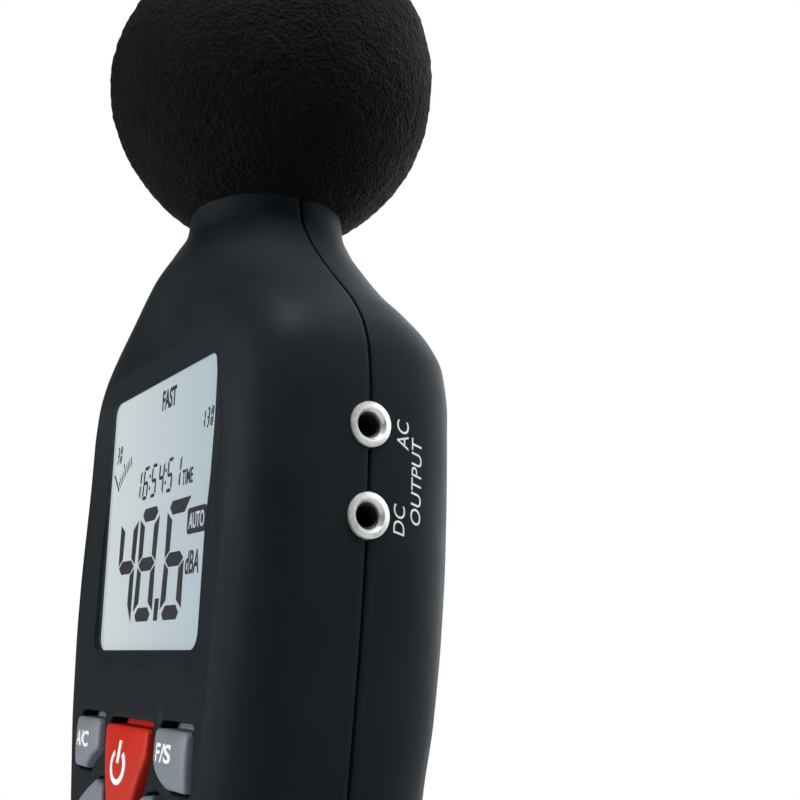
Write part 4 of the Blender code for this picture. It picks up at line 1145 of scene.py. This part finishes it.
def side_legends():
    """Reading upwards beside the sockets, letter tops towards the front."""
    for name, words, low, high, bottom, top in (
            ("legend_ac", "AC", 4.05, 5.95, 153.1, 157.1),
            ("legend_dc", "DC", 3.8, 5.6, 141.9, 146.0),
            ("legend_output", "OUTPUT", 6.5, 8.25, 143.5, 155.0)):
        places, faces = letters(words, top - bottom, high - low, 0.2)
        raised = []
        for u, v in places:
            y, z = (low + high) / 2 - v, (bottom + top) / 2 + u
            raised.append((float(case_x(y, z)) + 0.03, y, z))
        points, solid = slab(raised, faces, (-0.08, 0.0, 0.0))
        piece(name, points, solid, INK_WHITE, slot="white_plastic")


# ---------------------------------------------------------------- display

SEGMENTS = {"0": "abcdef", "1": "bc", "2": "abged", "3": "abgcd", "4": "fgbc", "5": "afgcd",
            "6": "afgedc", "7": "abc", "8": "abcdefg", "9": "abcdfg"}


def digit(marks, character, x, z, width, height, thick, slant, gap):
    """A seven-segment digit; x and z are its lower left corner, slant the lean per unit of height."""
    t, g = thick, gap
    top, middle = height, height / 2
    shapes = {
        "a": [(0.8 * t, top), (width - 0.8 * t, top), (width - 0.4 * t, top - 0.45 * t), (width - t, top - t),
              (t, top - t), (0.4 * t, top - 0.45 * t)],
        "d": [(0.8 * t, 0), (0.4 * t, 0.45 * t), (t, t), (width - t, t), (width - 0.4 * t, 0.45 * t),
              (width - 0.8 * t, 0)],
        "g": [(0.3 * t, middle), (t, middle + t / 2), (width - t, middle + t / 2), (width - 0.3 * t, middle),
              (width - t, middle - t / 2), (t, middle - t / 2)],
        "f": [(0, top - 0.6 * t - g), (t, top - 1.2 * t - g), (t, middle + t / 2 + g),
              (0.15 * t, middle + g)],
        "b": [(width, top - 0.6 * t - g), (width - 0.15 * t, middle + g), (width - t, middle + t / 2 + g),
              (width - t, top - 1.2 * t - g)],
        "e": [(0, 0.6 * t + g), (0.15 * t, middle - g), (t, middle - t / 2 - g), (t, 1.2 * t + g)],
        "c": [(width, 0.6 * t + g), (width - t, 1.2 * t + g), (width - t, middle - t / 2 - g),
              (width - 0.15 * t, middle - g)],
    }
    if character == "4":
        shapes["c"][0] = (width, 0)
    if character == "6":
        shapes["a"][1:4] = [(width + 0.3 * t, top), (width - 0.7 * t, top - t)]
    for segment in SEGMENTS[character]:
        marks.polygon([(x + u + slant * v, z + v) for u, v in shapes[segment]])


def lcd_marks():
    dark = Marks()
    for character, x in (("4", -16.4), ("8", -7.6), ("6", 3.4)):
        digit(dark, character, x, 131.0, 7.9, 16.6, 2.0, 0.07, 0.3)
    dark.polygon([(1.1, 131.0), (2.7, 131.0), (3.0, 134.1), (1.4, 134.1)])
    clock = ((-9.9, "1"), (-6.9, "6"), (-3.45, "5"), (-0.4, "4"), (3.0, "5"), (6.2, "1"))
    for x, character in clock:
        digit(dark, character, x, 149.1, 2.2, 5.0, 0.55, 0.12, 0.1)
    for x in (-4.05, 2.45):
        for z in (150.4, 152.2):
            dark.polygon([(x, z), (x + 0.5, z), (x + 0.56, z + 0.5), (x + 0.06, z + 0.5)])
    for x, character in ((15.5, "1"), (16.95, "3"), (18.3, "0"), (-19.9, "3"), (-18.5, "0")):
        digit(dark, character, x, 156.4, 0.95, 2.75, 0.38, 0.12, 0.03)
    dark.text("FAST", 2.4, 163.35, 5.6, 3.1, offset=0.03)
    dark.text("TIME", 11.25, 150.5, 3.9, 2.2, offset=0.02)
    dark.text("dBA", 14.5, 138.5, 4.8, 3.2, 0.15, 0.02)
    scale_arc(dark)
    pale = Marks()
    pale.text("AUTO", 15.4, 144.1, 5.3, 2.2, offset=0.015)
    box = fillet([(12.1, 142.3), (18.7, 142.3), (18.7, 145.9), (12.1, 145.9)], 0.6)
    return dark, pale, box


def scale_arc(marks):
    """The bars of the level scale up to the reading, along the start of an arc."""
    centre, radius = Vector((-4.0, 136.5)), 21.0
    for i in range(10):
        angle = math.radians(132.0 - TICK_TURN * i)
        along = Vector((math.cos(angle), math.sin(angle)))
        across = Vector((-along.y, along.x)) * (0.2 if i == 0 else 0.13)
        length = 3.8 if i == 0 else 2.4 if i == 5 else 1.4
        near = centre + along * (radius - 0.3)
        far = near + along * length
        marks.bar(near, far, across)


def display():
    dark, pale, box = lcd_marks()
    boxed = Marks()
    boxed.polygon(box)
    front = LCD_FACE_Y - 2 * MARK_THICK
    for name, marks, paint, y in (("lcd_segments", dark, LCD_DARK, front),
                                  ("lcd_auto_letters", pale, LCD_PALE, front - 0.05),
                                  ("lcd_auto_box", boxed, LCD_NAVY, front)):
        points, faces = slab([(x, y, z) for x, z in marks.points], marks.faces, (0.0, MARK_THICK, 0.0))
        piece(name, points, faces, paint, slot="lcd")


# ---------------------------------------------------------------- windscreen

def windscreen():
    """The foam ball: a fine sphere with an uneven skin, a microphone bore and a neck seat."""
    bm = bmesh.new()
    bmesh.ops.create_icosphere(bm, subdivisions=7, radius=FOAM_RADIUS)
    for vertex in bm.verts:
        out = vertex.co.normalized()
        swell = sum(height * noise.noise(out * fineness) for height, fineness in FOAM_SWELLS)
        crown = 1 - FOAM_CROWN * smoothstep(out.z / 0.55)
        vertex.co = out * (FOAM_RADIUS * float(crown) + swell)
        vertex.co += FOAM_LEAN * float(smoothstep((out.z + 0.05) / 0.5))
        vertex.co.z += FOAM_CENTRE_Z
    mesh = bpy.data.meshes.new("foam_ball")
    bmesh.ops.scale(bm, vec=(MM, MM, MM), verts=bm.verts)
    bm.to_mesh(mesh)
    bm.free()
    ball = mesh_piece("foam_ball", mesh, PAINTS["foam"], "windscreen", "foam", ("windscreen",), 60.0)
    cut_out(ball, [rod(FOAM_BORE_RADIUS, 180.0, FOAM_BORE_TOP, "Z", (0.0, 0.0), 64)])
    cut_out(ball, [rod(FOAM_SEAT_RADIUS, 180.0, NECK_TOP + GAP, "Z", (0.0, 0.0), 96)])


# ---------------------------------------------------------------- sockets

def jack_ring(name, height):
    """A plated ring with a chamfered bore and rounded edge, and the dark liner just inside the bore."""
    depth = RING_OUT - RING_BACK
    profile = [(RING_RADIUS, 0.0), (RING_RADIUS, depth - 0.2), (RING_RADIUS - 0.06, depth - 0.06),
               (RING_RADIUS - 0.2, depth), (RING_HOLE_RADIUS + 0.45, depth),
               (RING_HOLE_RADIUS + 0.38, depth - 0.06), (RING_HOLE_RADIUS + 0.05, depth - 0.5),
               (RING_HOLE_RADIUS, depth - 0.6), (RING_HOLE_RADIUS, 0.0)]
    liner = [(LINER_RADIUS, 0.0), (LINER_RADIUS, depth - 0.9), (RING_HOLE_RADIUS - 0.1, depth - 0.8),
             (RING_HOLE_RADIUS - 0.25, depth - 0.95), (RING_HOLE_RADIUS - 0.25, 0.0)]
    for ending, shape, steps, slot, stands_for in (("plated", profile, 72, "nickel", (name,)),
                                                   ("liner", liner, 48, "black_plastic", ())):
        points, faces = lathe(shape, steps, closed=True)
        points = [(z + RING_BACK, x, y + height) for x, y, z in points]
        piece(f"{name}_{ending}", points, faces, PAINTS[slot], slot=slot, stands_for=stands_for)


def repaint():
    """Every CAD node that stays in sight or inside gets its slot's full material."""
    slots = {part["node"]: part["material_slot"] for part in frame["record"]["subparts"]}
    for name, made in frame["nodes"].items():
        paint = PAINTS[slots[name]]
        made.data.materials.clear()
        made.data.materials.append(paint)


# ---------------------------------------------------------------- stage, light and camera

def stage():
    points = [(0.0, 0.0, 0.0)] + [(FLOOR_RADIUS * math.cos(a), FLOOR_RADIUS * math.sin(a), 0.0)
                                  for a in np.linspace(0, 2 * math.pi, FLOOR_SIDES + 1)[:-1]]
    mesh = bpy.data.meshes.new("floor")
    faces = [(0, 1 + i, 1 + (i + 1) % FLOOR_SIDES) for i in range(FLOOR_SIDES)]
    mesh.from_pydata([tuple(v * MM for v in p) for p in points], [], faces)
    mesh.materials.append(surface("floor_pale", (0.74, 0.74, 0.74), 0.7, grain=1.0, bump=0.0, tone=0.01,
                                  patch=200.0))
    floor = placed("floor", mesh)
    floor.location.z = -FLOOR_DROP * MM


def world():
    made = bpy.data.worlds.new("studio")
    bpy.context.scene.world = made
    made.use_nodes = True
    tree = made.node_tree
    background = tree.nodes["Background"]
    direction = tree.nodes.new("ShaderNodeTexCoord").outputs["Generated"]
    towards = tree.nodes.new("ShaderNodeVectorMath")
    towards.operation = "DOT_PRODUCT"
    towards.inputs[1].default_value = BACKDROP_DIRECTION
    tree.links.new(direction, towards.inputs[0])
    fade = range_node(tree, towards.outputs["Value"], ROOM_LIGHT, BACKDROP_LIGHT, 0.35, 0.95)
    fade.interpolation_type = "SMOOTHSTEP"
    feed(tree, background, {"Color": (0.90, 0.95, 1.0, 1.0), "Strength": fade.outputs["Result"]})
    white = node(tree, "Background", {"Color": (1.0, 1.0, 1.0, 1.0)})
    path = node(tree, "LightPath", {})
    mix = node(tree, "MixShader", {"Fac": path.outputs["Is Camera Ray"]})
    tree.links.new(background.outputs["Background"], mix.inputs[1])
    tree.links.new(white.outputs["Background"], mix.inputs[2])
    feed(tree, tree.nodes["World Output"], {"Surface": mix.outputs["Shader"]})


def area_light(name, at, aim, size, power, colour=(1.0, 1.0, 1.0)):
    """A soft box at a place in millimetres, turned to face its aim."""
    lamp = bpy.data.lights.new(name, "AREA")
    lamp.shape = "RECTANGLE"
    lamp.size, lamp.size_y = size[0] * MM, size[1] * MM
    lamp.energy = power
    lamp.color = colour
    holder = placed(name, lamp)
    holder.location = Vector(at) * MM
    holder.rotation_euler = (Vector(aim) - Vector(at)).to_track_quat("-Z", "Y").to_euler()


def lights():
    area_light("key_light", (-160.0, -790.0, 230.0), (0.0, 0.0, 130.0), (380.0, 380.0), 5.4)
    area_light("side_light", (420.0, 380.0, 330.0), (30.0, 0.0, 165.0), (200.0, 260.0), 0.6,
               (0.92, 0.96, 1.0))
    area_light("top_light", (115.0, -15.0, 390.0), (34.0, -4.0, 178.0), (90.0, 90.0), 0.6)


def camera():
    lens = bpy.data.cameras.new("camera")
    lens.lens = 52.0
    lens.sensor_width = 36.0
    lens.shift_x = 0.1
    lens.clip_start = 0.01
    right = Vector((0.479, 0.8773, 0.0296)).normalized()
    back = Vector((0.8578, -0.4607, -0.228)).normalized()
    up = back.cross(right).normalized()
    right = up.cross(back)
    holder = placed("camera", lens)
    turn = Matrix((right, up, back)).transposed().to_4x4()
    holder.matrix_world = Matrix.Translation(Vector((159.4, -74.7, 124.8)) * MM) @ turn
    bpy.context.scene.camera = holder


# ---------------------------------------------------------------- everything

camera()
world()
lights()
stage()
repaint()
front_shell()
rear_shell()
parting_tongue()
battery_door()
for key_name, key_outline, key_slot in keys():
    key(key_name, key_outline, key_slot)
    key_legend(key_name, key_outline)
side_legends()
display()
windscreen()
for ring_name, ring_z in zip(("ac_jack_ring", "dc_jack_ring"), SOCKET_Z):
    jack_ring(ring_name, ring_z)
bpy.context.scene.view_settings.view_transform = "Standard"
